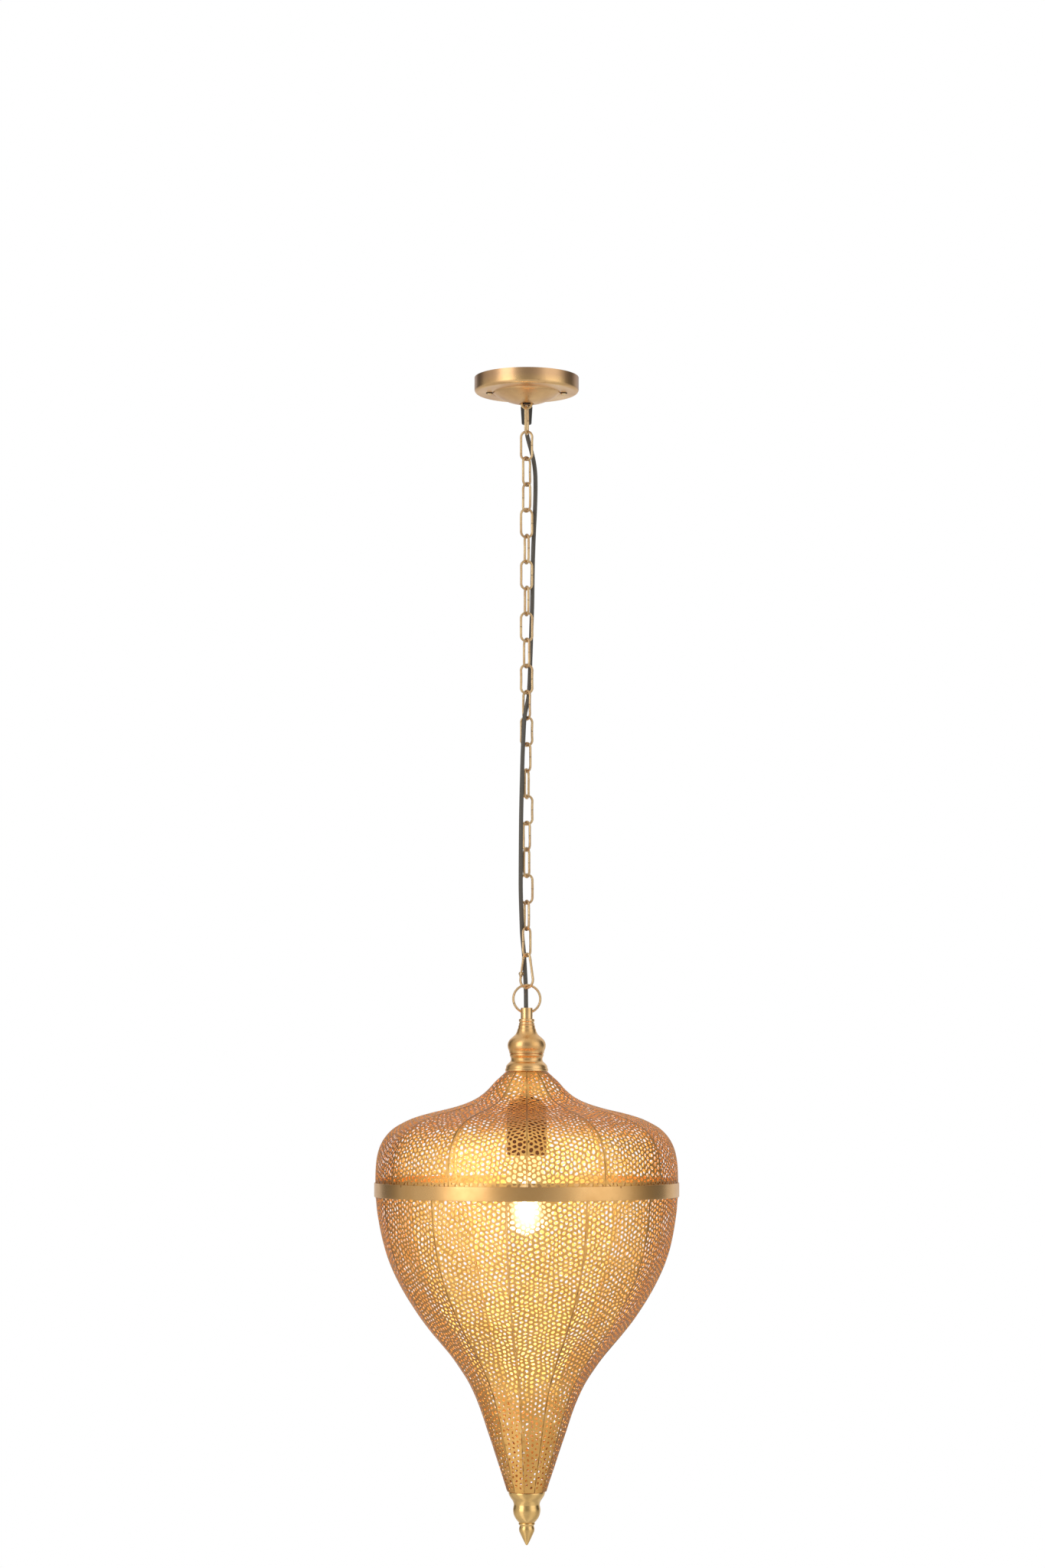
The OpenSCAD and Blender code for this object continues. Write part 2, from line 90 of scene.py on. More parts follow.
def noise(nt, vec, scale, detail=3, rough=0.5):
    n = nt.nodes.new("ShaderNodeTexNoise")
    n.inputs["Scale"].default_value = scale
    n.inputs["Detail"].default_value = detail
    n.inputs["Roughness"].default_value = rough
    nt.links.new(vec, n.inputs["Vector"])
    return n.outputs["Fac"]


def maprange(nt, v, a, b, c, d):
    n = nt.nodes.new("ShaderNodeMapRange")
    n.inputs["From Min"].default_value = a
    n.inputs["From Max"].default_value = b
    n.inputs["To Min"].default_value = c
    n.inputs["To Max"].default_value = d
    nt.links.new(v, n.inputs["Value"])
    return n.outputs["Result"]


def mixcol(nt, f, a, b, mode="MIX"):
    n = nt.nodes.new("ShaderNodeMix")
    n.data_type = "RGBA"
    n.blend_type = mode
    for s, v in ((0, f), (6, a), (7, b)):
        if isinstance(v, (int, float)):
            n.inputs[s].default_value = v
        elif isinstance(v, tuple):
            n.inputs[s].default_value = (*v, 1)
        else:
            nt.links.new(v, n.inputs[s])
    return n.outputs[2]


def bump(nt, b, h, strength, dist):
    n = nt.nodes.new("ShaderNodeBump")
    n.inputs["Strength"].default_value = strength
    n.inputs["Distance"].default_value = dist
    nt.links.new(h, n.inputs["Height"])
    nt.links.new(n.outputs["Normal"], b.inputs["Normal"])


def metal(name, light, dark, rough, blotch=60, brush=None, edge=None, bump_h=0.00006, tint_attr=None, spots=0.25):
    """An aged metal: two tones in soft patches, roughness that follows them, and fine marks."""
    m, nt, b = new_mat(name)
    b.inputs["Metallic"].default_value = 1
    v = coords(nt)
    f = noise(nt, v, blotch, 4, 0.6)
    fac = maprange(nt, f, 0.38, 0.68, 0, 1)
    c = mixcol(nt, fac, light, dark)
    sp = noise(nt, v, blotch * 14, 2, 0.7)
    c = mixcol(nt, maprange(nt, sp, 0.62, 0.74, 0, spots), c, tuple(x * 0.45 for x in dark))
    if tint_attr:
        a = node(nt, "ShaderNodeAttribute", attribute_name=tint_attr)
        c = mixcol(nt, a.outputs["Fac"], c, tuple(x * 0.25 for x in dark))
    # edge: a colour painted by view angle where the surface turns away from the eye, standing in for light at the
    # grazing edge
    if edge:
        lw = node(nt, "ShaderNodeLayerWeight")
        lw.inputs["Blend"].default_value = 0.35
        c = mixcol(nt, maprange(nt, lw.outputs["Facing"], 0.35, 0.95, 0, 1), c, edge)
    nt.links.new(c, b.inputs["Base Color"])
    nt.links.new(maprange(nt, f, 0.3, 0.7, rough * 0.85, rough * 1.2), b.inputs["Roughness"])
    h = noise(nt, coords(nt, brush) if brush else v, 900 if brush else 420, 3, 0.6)
    bump(nt, b, h, 0.5 if brush else 0.35, bump_h)
    return m


GOLD = (0.76, 0.52, 0.235)
M = {}
M["chain"] = metal("brass_chain", (0.86, 0.62, 0.33), (0.66, 0.42, 0.22), 0.30, 45, tint_attr="tint", bump_h=0.00008)
M["loop"] = metal("brass_loop", (0.80, 0.56, 0.27), (0.58, 0.36, 0.17), 0.28, 60)
M["canopy"] = metal("brass_canopy", (0.93, 0.60, 0.27), (0.66, 0.385, 0.18), 0.29, 16, brush=(1, 1, 0.08), bump_h=0.00002)
nt = M["canopy"].node_tree
b = next(x for x in nt.nodes if x.type == "BSDF_PRINCIPLED")
c = b.inputs["Base Color"].links[0].from_socket
ge = node(nt, "ShaderNodeNewGeometry")
sn = node(nt, "ShaderNodeSeparateXYZ")
sp_ = node(nt, "ShaderNodeSeparateXYZ")
nt.links.new(ge.outputs["Normal"], sn.inputs[0])
nt.links.new(ge.outputs["Position"], sp_.inputs[0])
ab = nt.nodes.new("ShaderNodeMath")
ab.operation = "ABSOLUTE"
nt.links.new(sn.outputs["Z"], ab.inputs[0])
side = maprange(nt, ab.outputs[0], 0.25, 0.7, 1, 0)
lw = node(nt, "ShaderNodeLayerWeight")
lw.inputs["Blend"].default_value = 0.5
# painted shade on the side wall: browner towards the ceiling, and darker where the wall turns away from the eye
for painted_shade_fac, col in ((maprange(nt, sp_.outputs["Z"], -0.013, -0.006, 0.0, 0.55), (0.62, 0.37, 0.22)),
                  (maprange(nt, lw.outputs["Facing"], 0.30, 0.85, 0.0, 0.85), (0.36, 0.20, 0.12))):
    mu = nt.nodes.new("ShaderNodeMath")
    mu.operation = "MULTIPLY"
    nt.links.new(painted_shade_fac, mu.inputs[0])
    nt.links.new(side, mu.inputs[1])
    c = mixcol(nt, mu.outputs[0], c, col)
nt.links.new(c, b.inputs["Base Color"])
M["neck"] = metal("brass_neck", (0.97, 0.66, 0.33), (0.82, 0.48, 0.19), 0.24, 40, bump_h=0.00003)
M["vase"] = metal("brass_vase", (0.95, 0.59, 0.26), (0.76, 0.42, 0.14), 0.28, 40, bump_h=0.00004)
M["band"] = metal("brass_band", (0.92, 0.55, 0.22), (0.78, 0.43, 0.15), 0.28, 20, brush=(0.05, 0.05, 1.0), bump_h=0.00004, spots=0.1)
M["finial"] = metal("brass_finial", (0.95, 0.62, 0.24), (0.80, 0.50, 0.18), 0.22, 50, bump_h=0.00005)
M["screw"] = metal("brass_screw", (1.0, 0.80, 0.50), (0.90, 0.66, 0.38), 0.45, 120)
M["steel"] = metal("zinc", (0.62, 0.62, 0.60), (0.5, 0.5, 0.49), 0.35, 70)


def plain(name, col, rough, metallic=0.0, spec=None):
    m, nt, b = new_mat(name)
    b.inputs["Base Color"].default_value = (*col, 1)
    b.inputs["Roughness"].default_value = rough
    b.inputs["Metallic"].default_value = metallic
    v = coords(nt)
    f = noise(nt, v, 300, 3, 0.6)
    nt.links.new(maprange(nt, f, 0.3, 0.7, rough * 0.9, min(1, rough * 1.12)), b.inputs["Roughness"])
    bump(nt, b, noise(nt, v, 1500, 2, 0.5), 0.25, 0.00002)
    return m


M["black"] = plain("black_plastic", (0.050, 0.044, 0.034), 0.42)
M["ring_dark"] = plain("dark_ring", (0.06, 0.04, 0.022), 0.5, 0.6)
M["holder"] = plain("dark_bronze", (0.075, 0.036, 0.018), 0.42, 0.35)
M["porcelain"] = plain("glazed_insulator", (0.85, 0.84, 0.80), 0.18)
M["nickel"] = metal("nickel", (0.70, 0.68, 0.63), (0.58, 0.56, 0.52), 0.22, 90)
M["flex"] = plain("flex_sheath", (0.105, 0.092, 0.072), 0.36)

# pierced sheet: gold where it faces the eye, painted shade that turns it copper brown towards the grazing edge, and
# darker along the soldered seams
m, nt, b = new_mat("pierced_brass")
b.inputs["Metallic"].default_value = 1
v = coords(nt)
f = noise(nt, v, 34, 4, 0.62)
c = mixcol(nt, maprange(nt, f, 0.36, 0.66, 0, 1), (0.96, 0.57, 0.185), (0.84, 0.45, 0.12))
fine = noise(nt, v, 260, 3, 0.6)
c = mixcol(nt, maprange(nt, fine, 0.48, 0.78, 0, 0.40), c, (0.62, 0.30, 0.09))
lw = node(nt, "ShaderNodeLayerWeight")
lw.inputs["Blend"].default_value = 0.5
# painted shade: darker copper brown where the sheet turns away from the eye, and a paler painted sheen right at the
# silhouette
c = mixcol(nt, maprange(nt, lw.outputs["Facing"], 0.26, 0.70, 0, 0.9), c, (0.46, 0.20, 0.07))
c = mixcol(nt, maprange(nt, lw.outputs["Facing"], 0.80, 0.97, 0, 0.65), c, (0.64, 0.34, 0.17))
# painted light on the inner face: bright gold at the bulb's height, browner above and below it, and painted shade
# where it turns away from the eye
inn = node(nt, "ShaderNodeAttribute", attribute_name="inner")
inside = maprange(nt, inn.outputs["Fac"], 0.55, 0.95, 0, 1)
pz = node(nt, "ShaderNodeSeparateXYZ")
pg = node(nt, "ShaderNodeNewGeometry")
own = node(nt, "ShaderNodeTexCoord").outputs["Object"]
vt = nt.nodes.new("ShaderNodeVectorTransform")
vt.vector_type = "VECTOR"
vt.convert_from = "WORLD"
vt.convert_to = "OBJECT"
nt.links.new(pg.outputs["Incoming"], vt.inputs[0])
nt.links.new(own, pz.inputs[0])
painted_bulb_falloff = nt.nodes.new("ShaderNodeMath")
painted_bulb_falloff.operation = "MAXIMUM"
nt.links.new(maprange(nt, pz.outputs["Z"], -0.885, -0.835, 0, 1), painted_bulb_falloff.inputs[0])
nt.links.new(maprange(nt, pz.outputs["Z"], -1.09, -1.26, 0, 1), painted_bulb_falloff.inputs[1])
c = mixcol(nt, inside, c, mixcol(nt, maprange(nt, lw.outputs["Facing"], 0.35, 0.8, 0, 0.75),
                             mixcol(nt, painted_bulb_falloff.outputs[0], (0.94, 0.62, 0.24), (0.50, 0.28, 0.11)), (0.40, 0.19, 0.08)))
ed = node(nt, "ShaderNodeAttribute", attribute_name="edge")
wav = noise(nt, v, 90, 3, 0.6)
near = nt.nodes.new("ShaderNodeMath")
near.operation = "SUBTRACT"
nt.links.new(ed.outputs["Fac"], near.inputs[0])
nt.links.new(maprange(nt, wav, 0.3, 0.7, -0.35, 0.55), near.inputs[1])
c = mixcol(nt, maprange(nt, near.outputs[0], 0.0, 0.5, 0.8, 0), c, (0.20, 0.09, 0.035))
nt.links.new(c, b.inputs["Base Color"])
rg = nt.nodes.new("ShaderNodeMath")
rg.operation = "MAXIMUM"
nt.links.new(maprange(nt, fine, 0.3, 0.7, 0.38, 0.54), rg.inputs[0])
nt.links.new(maprange(nt, inside, 0, 1, 0, 0.55), rg.inputs[1])
nt.links.new(rg.outputs[0], b.inputs["Roughness"])
bump(nt, b, noise(nt, v, 420, 3, 0.6), 0.5, 0.00018)


def vmath(op, a, b_=None):
    n_ = nt.nodes.new("ShaderNodeVectorMath")
    n_.operation = op
    for q, x in enumerate((a, b_)):
        if x is None:
            continue
        if isinstance(x, tuple):
            n_.inputs[q].default_value = x
        else:
            nt.links.new(x, n_.inputs[q])
    return n_.outputs["Value"] if op == "LENGTH" else n_.outputs["Vector"]


# webs the eye sees in line with the burning bulb are flooded by it
flat_z = (1.0, 1.0, 0.60)
ray = vmath("NORMALIZE", vmath("MULTIPLY", vt.outputs[0], flat_z))
to_c = vmath("MULTIPLY", vmath("SUBTRACT", (0.0, 0.0, -0.970), own), flat_z)
dist = vmath("LENGTH", vmath("CROSS_PRODUCT", to_c, ray))
lp = node(nt, "ShaderNodeLightPath")
hot = maprange(nt, dist, 0.005, 0.019, 2.2, 0)
halo = maprange(nt, dist, 0.012, 0.080, 0.15, 0)
tot = nt.nodes.new("ShaderNodeMath")
tot.operation = "ADD"
nt.links.new(hot, tot.inputs[0])
nt.links.new(halo, tot.inputs[1])
cam_only = nt.nodes.new("ShaderNodeMath")
cam_only.operation = "MULTIPLY"
nt.links.new(tot.outputs[0], cam_only.inputs[0])
nt.links.new(lp.outputs["Is Camera Ray"], cam_only.inputs[1])
nt.links.new(mixcol(nt, maprange(nt, dist, 0.010, 0.030, 0, 1), (1.0, 0.84, 0.52), (1.0, 0.56, 0.16)), b.inputs["Emission Color"])
nt.links.new(cam_only.outputs[0], b.inputs["Emission Strength"])
M["pierced"] = m

# lit bulb: a hot core in frosted glass that cools to warm gold at its edge and towards its neck
m, nt, b = new_mat("lit_bulb")
b.inputs["Base Color"].default_value = (1, 0.93, 0.80, 1)
b.inputs["Roughness"].default_value = 0.25
lw = node(nt, "ShaderNodeLayerWeight")
lw.inputs["Blend"].default_value = 0.5
g_ = node(nt, "ShaderNodeTexCoord")
sp_ = node(nt, "ShaderNodeSeparateXYZ")
nt.links.new(g_.outputs["Object"], sp_.inputs[0])
core = maprange(nt, lw.outputs["Facing"], 0.02, 0.17, 1, 0)
low = maprange(nt, sp_.outputs["Z"], -0.955, -0.925, 1, 0.04)
mul = nt.nodes.new("ShaderNodeMath")
mul.operation = "MULTIPLY"
nt.links.new(core, mul.inputs[0])
nt.links.new(low, mul.inputs[1])
nt.links.new(mixcol(nt, mul.outputs[0], (1.0, 0.60, 0.20), (1.0, 0.84, 0.55)), b.inputs["Emission Color"])
nt.links.new(maprange(nt, mul.outputs[0], 0, 1, 0.85, 9), b.inputs["Emission Strength"])
M["bulb"] = m

# ------------------------------------------------------------------ geometry helpers


def mesh_obj(name, V, F, mat=None, sharp=40, attrs=None):
    me = bpy.data.meshes.new(name)
    me.from_pydata([tuple(p) for p in V], [], [tuple(int(i) for i in f) for f in F])
    me.validate(verbose=False)
    me.shade_smooth()
    if sharp:
        me.set_sharp_from_angle(angle=math.radians(sharp))
    o = bpy.data.objects.new(name, me)
    bpy.context.scene.collection.objects.link(o)
    if attrs:
        for k, val in attrs.items():
            a = me.attributes.new(k, "FLOAT", "POINT")
            a.data.foreach_set("value", np.asarray(val, np.float32))
    if mat:
        me.materials.append(mat)
    return o


def place(o, nodename, body):
    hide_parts(*( [nodename] if isinstance(nodename, str) else nodename))
    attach(o, body)
    return o


def smooth_profile(pts, step=1.2, corner=38, closed=True):
    """Rounds a turned profile: points that turn gently lie on a spline, and sharp ones stay sharp."""
    P = [np.array(p, float) for p in pts]
    n = len(P)
    out = []
    def turn(i):
        if not closed and i in (0, n - 1):
            return 180
        a, b2, c2 = P[(i - 1) % n], P[i], P[(i + 1) % n]
        u, w = b2 - a, c2 - b2
        if np.linalg.norm(u) < 1e-9 or np.linalg.norm(w) < 1e-9:
            return 180
        return math.degrees(math.acos(max(-1, min(1, float(u @ w / np.linalg.norm(u) / np.linalg.norm(w))))))
    sharp = [turn(i) > corner for i in range(n)]
    m_ = n if closed else n - 1
    for i in range(m_):
        p1, p2 = P[i], P[(i + 1) % n]
        p0 = p1 - (p2 - p1) if sharp[i] else P[(i - 1) % n]
        p3 = p2 + (p2 - p1) if sharp[(i + 1) % n] else P[(i + 2) % n]
        L = np.linalg.norm(p2 - p1)
        k = max(1, int(round(L / step)))
        # centripetal tangents keep the curve from overshooting
        d0 = max(np.linalg.norm(p1 - p0), 1e-6) ** 0.5
        d1 = max(L, 1e-6) ** 0.5
        d2 = max(np.linalg.norm(p3 - p2), 1e-6) ** 0.5
        m1 = (p2 - p1) + d1 * ((p1 - p0) / d0 - (p2 - p0) / (d0 + d1))
        m2 = (p2 - p1) + d1 * ((p3 - p2) / d2 - (p3 - p1) / (d1 + d2))
        for m__ in (m1, m2):
            q_ = np.linalg.norm(m__)
            if q_ > 1.15 * L:
                m__ *= 1.15 * L / q_
        for j in range(k):
            t = j / k
            out.append((2 * t**3 - 3 * t**2 + 1) * p1 + (t**3 - 2 * t**2 + t) * m1 + (-2 * t**3 + 3 * t**2) * p2 + (t**3 - t**2) * m2)
    if not closed:
        out.append(P[-1])
    return out


def lathe(name, pts, mat, seg=128, step=1.0, centre=(0, 0), wob=0.0, corner=38, sharp=40):
    """Turns a closed profile given in mm as (radius, height)."""
    prof = smooth_profile(pts, step, corner)
    # counter-clockwise profile gives outward faces
    A = sum(prof[i][0] * prof[(i + 1) % len(prof)][1] - prof[(i + 1) % len(prof)][0] * prof[i][1] for i in range(len(prof)))
    if A < 0:
        prof = prof[::-1]
    V, ring = [], []
    ph = rng.uniform(0, TAU, 3)
    for r, z in prof:
        if r < 0.02:
            ring.append([len(V)])
            V.append((centre[0] * MM, centre[1] * MM, z * MM))
        else:
            ring.append(list(range(len(V), len(V) + seg)))
            for s in range(seg):
                a = TAU * s / seg
                w = 1 + wob * (0.5 * math.sin(2 * a + ph[0]) + 0.3 * math.sin(3 * a + ph[1] + z * 0.05))
                V.append(((centre[0] + r * w * math.cos(a)) * MM, (centre[1] + r * w * math.sin(a)) * MM, z * MM))
    F = []
    n = len(prof)
    for i in range(n):
        A_, B_ = ring[i], ring[(i + 1) % n]
        if len(A_) == 1 and len(B_) == 1:
            continue
        for s in range(seg):
            t = (s + 1) % seg
            if len(A_) == 1:
                F.append((A_[0], B_[t], B_[s]))
            elif len(B_) == 1:
                F.append((A_[s], A_[t], B_[0]))
            else:
                F.append((A_[s], A_[t], B_[t], B_[s]))
    return mesh_obj(name, V, F, mat, sharp)


def frames(P, closed=False):
    P = np.asarray(P, float)
    n = len(P)
    if closed:
        T = np.roll(P, -1, 0) - np.roll(P, 1, 0)
    else:
        T = np.gradient(P, axis=0)
    T /= np.linalg.norm(T, axis=1)[:, None]
    return P, T


def tube(name, P, rad, mat, seg=20, closed=False, normal=None, cap=True, attrs=None, squash_f=None):
    """A round wire along points in mm. rad is a number or one per point; normal fixes the roll."""
    P, T = frames(P, closed)
    n = len(P)
    rad = np.full(n, rad, float) if np.isscalar(rad) else np.asarray(rad, float)
    U = np.zeros_like(P)
    if normal is not None:
        nn = np.array(normal, float)
        for i in range(n):
            u = nn - T[i] * (nn @ T[i])
            U[i] = u / np.linalg.norm(u)
    else:
        u = np.array([0.13, 0.99, 0.05])
        for i in range(n):
            u = u - T[i] * (u @ T[i])
            u /= np.linalg.norm(u)
            U[i] = u
    W = np.cross(T, U)
    V, tint = [], []
    for i in range(n):
        for s in range(seg):
            a = TAU * s / seg
            V.append((P[i] + rad[i] * (math.cos(a) * U[i] + math.sin(a) * W[i])) * MM)
            if attrs is not None:
                tint.append(attrs[i])
    F = []
    m_ = n if closed else n - 1
    for i in range(m_):
        j = (i + 1) % n
        for s in range(seg):
            t = (s + 1) % seg
            F.append((i * seg + s, i * seg + t, j * seg + t, j * seg + s))
    if not closed and cap:
        c0, c1 = len(V), len(V) + 1
        V.append(P[0] * MM)
        V.append(P[-1] * MM)
        if attrs is not None:
            tint += [attrs[0], attrs[-1]]
        for s in range(seg):
            t = (s + 1) % seg
            F.append((c0, t, s))
            F.append((c1, (n - 1) * seg + s, (n - 1) * seg + t))
    return mesh_obj(name, V, F, mat, 50, {"tint": tint} if attrs is not None else None)


def catmull(P, k):
    P = [np.array(p, float) for p in P]
    out = []
    n = len(P)
    for i in range(n - 1):
        p0, p1, p2, p3 = P[max(i - 1, 0)], P[i], P[i + 1], P[min(i + 2, n - 1)]
        for j in range(k):
            t = j / k
            out.append(0.5 * (2 * p1 + (p2 - p0) * t + (2 * p0 - 5 * p1 + 4 * p2 - p3) * t * t + (3 * p1 - p0 - 3 * p2 + p3) * t**3))
    out.append(P[-1])
    return np.array(out)


def rotz(P, deg):
    a = math.radians(deg)
    P = np.asarray(P, float)
    R = np.array([[math.cos(a), -math.sin(a), 0], [math.sin(a), math.cos(a), 0], [0, 0, 1]])
    return P @ R.T


# ------------------------------------------------------------------ numbers shared with the frame
LINK_TURN = [78, -10, 52, -52, 12, -70, 15, -72, 8, -63, 5, -55, 12, -50, 70, 5, -57, 63, 0, -68, 50]
WIRE = 2.8
HALF, LR = 16.8, 6.6
PITCH = 30.6
RF = -18.0


def hang(z):
    """Heights of the lantern are drawn as on a shorter chain: this lets them down to where they hang."""
    if z > -797.6:
        return z - 14.4
    if z > -941:
        return -812.0 + 0.995 * (z + 797.6)
    return -812.0 + 0.995 * (797.6 - 941) + 0.984 * (z + 941)


def hung(pts):
    return [(r, hang(z)) for r, z in pts]


# ------------------------------------------------------------------ ceiling end
DR, DH, CR = 38.75, 13.0, 61.25
cap_r = (DR**2 + DH**2) / (2 * DH)


def dome(t, r):
    return RF - 0.5 - (math.sqrt((cap_r - t) ** 2 - r * r) - (cap_r - DH))


can = [(CR, -0.02), (CR, -1.2), (CR, -13.2)]
for a in range(12, 91, 13):
    can.append((CR - 4 + 4 * math.cos(math.radians(a)), -14 - 4 * math.sin(math.radians(a))))
can += [(51, RF), (DR + 2.2, RF + 0.02), (DR + 1.5, RF + 0.15), (DR + 0.9, RF + 0.5), (DR + 0.4, RF + 0.35), (DR, RF - 0.3)]
can += [(r, dome(0, r)) for r in (37.7, 34, 30, 26, 22, 18, 14, 11, 8.6)]
can += [(8.1, dome(0, 8.2) + 0.2), (8.0, dome(0, 8) + 0.6)]
can += [(r, dome(1, r)) for r in (8.4, 12, 18, 24, 30, 35)]
can += [(DR - 0.6, RF + 0.3), (DR + 0.2, RF + 1.4), (DR + 1.6, RF + 1.2), (51, RF + 1)]
for a in range(90, -1, -15):
    can.append((CR - 4 + 3 * math.cos(math.radians(a)), -14 - 3 * math.sin(math.radians(a))))
can += [(CR - 1, -0.02)]
o = lathe("canopy_shell", can, M["canopy"], 192, 1.0, corner=32)


def cut(o, cutters):
    for c in cutters:
        md = o.modifiers.new("hole", "BOOLEAN")
        md.object = c
        md.solver = "EXACT"
    bpy.context.view_layer.update()
    dg = bpy.context.evaluated_depsgraph_get()
    me = bpy.data.meshes.new_from_object(o.evaluated_get(dg))
    old = o.data
    o.modifiers.clear()
    o.data = me
    me.set_sharp_from_angle(angle=math.radians(40))
    for c in cutters:
        bpy.data.objects.remove(c)
    return o


def cyl(name, p, q, r, seg=48, mat=None, bevel=0):
    p, q = np.array(p, float), np.array(q, float)
    d = (q - p) / np.linalg.norm(q - p)
    pts = [p, q]
    return tube(name, pts, r, mat, seg)


cut(o, [cyl("c1", (43.5, 0, -30), (43.5, 0, -10), 2.3), cyl("c2", (-43.5, 0, -30), (-43.5, 0, -10), 2.3), cyl("c3", (0, 16, -40), (0, 16, -10), 5.15)])
place(o, "canopy", "ceiling_mount")

grip = [(2.55, -52.2), (4.4, -52.4), (5.2, -52.1), (5.7, -51.4), (6.0, -47.4), (6.5, -39.4), (6.9, -33.1), (7, -31.9), (6.8, -31.3), (5.0, -31.2), (5.0, -18), (2.55, -18)]
o = lathe("cord_grip_body", grip, M["black"], 72, 0.8, centre=(0, 16), corner=50)
place(o, "cord_grip", "ceiling_mount")


def screw_head(name, x):
    prof = [(0, RF - 0.8 - 2.1), (1.3, RF - 0.8 - 2.05), (2.3, RF - 0.8 - 1.8), (2.95, RF - 0.8 - 1.2), (3.2, RF - 0.8 - 0.45), (3.2, RF - 0.8), (2.0, RF - 0.8), (2.0, -0.9), (0, -0.9)]
    o = lathe(name, prof, M["screw"], 48, 0.6, centre=(x, 0), corner=45)
    b_ = box_mesh("s", (x - 5, -0.42, RF - 4.5), (x + 5, 0.42, RF - 2.2))
    cut(o, [b_])
    return o


def box_mesh(name, lo, hi, mat=None):
    x0, y0, z0 = lo
    x1, y1, z1 = hi
    V = np.array([(x, y, z) for x in (x0, x1) for y in (y0, y1) for z in (z0, z1)]) * MM
    F = [(0, 1, 3, 2), (4, 6, 7, 5), (0, 4, 5, 1), (2, 3, 7, 6), (0, 2, 6, 4), (1, 5, 7, 3)]
    return mesh_obj(name, V, F, mat, 30)


def join(objs, name):
    bpy.ops.object.select_all(action="DESELECT")
    for o in objs:
        o.select_set(True)
    bpy.context.view_layer.objects.active = objs[0]
    bpy.ops.object.join()
    objs[0].name = name
    return objs[0]


o = join([screw_head("sa", 43.5), screw_head("sb", -43.5)], "canopy_screw_pair")
place(o, "canopy_screws", "ceiling_mount")
ws = []
for x in (43.5, -43.5):
    ws.append(lathe("w", [(2.2, RF - 0.8), (3.7, RF - 0.8), (4.2, RF - 0.45), (4.2, RF - 0.02), (2.2, RF - 0.02)], M["ring_dark"], 48, 0.5, centre=(x, 0), corner=50))
o = join(ws, "screw_washer_pair")
place(o, "screw_washers", "ceiling_mount")

# wire loop
LP = [(6, 0, -0.3)] + [(6, 0, z) for z in np.linspace(-2, -29.3, 14)]
LP += [(6 * math.cos(math.radians(a)), 0, -30.3 + 6 * math.sin(math.radians(a))) for a in range(0, -181, -9)]
LP += [(-6, 0, z) for z in np.linspace(-30.3, -2, 15)][1:] + [(-6, 0, -0.3)]
o = tube("hanger_loop_wire", LP, 1.4, M["loop"], 20, normal=(0, 1, 0))
place(o, "hanger_loop", "ceiling_mount")


def paint(nodename, mat):
    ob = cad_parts[nodename]
    ob.data.materials.clear()
    ob.data.materials.append(mat)


for n_, m_ in (("ceiling_bracket", "steel"), ("loop_locknuts", "nickel"), ("grip_nut", "black"), ("terminal_block", "porcelain"), ("terminal_screws", "screw"),
               ("lamp_nipple", "neck"), ("nipple_nuts", "nickel"), ("shade_top_plate", "neck"), ("upper_rim", "band"), ("band_pins", "steel"),
               ("shade_end_plate", "neck"), ("finial_bolt", "steel"), ("socket_insert", "porcelain"), ("socket_contacts", "screw"), ("bulb_cap", "nickel"), ("gate_pin", "steel"),
               ("canopy_cord", "flex"), ("neck_cord", "flex")):
    paint(n_, M[m_])

# ------------------------------------------------------------------ chain


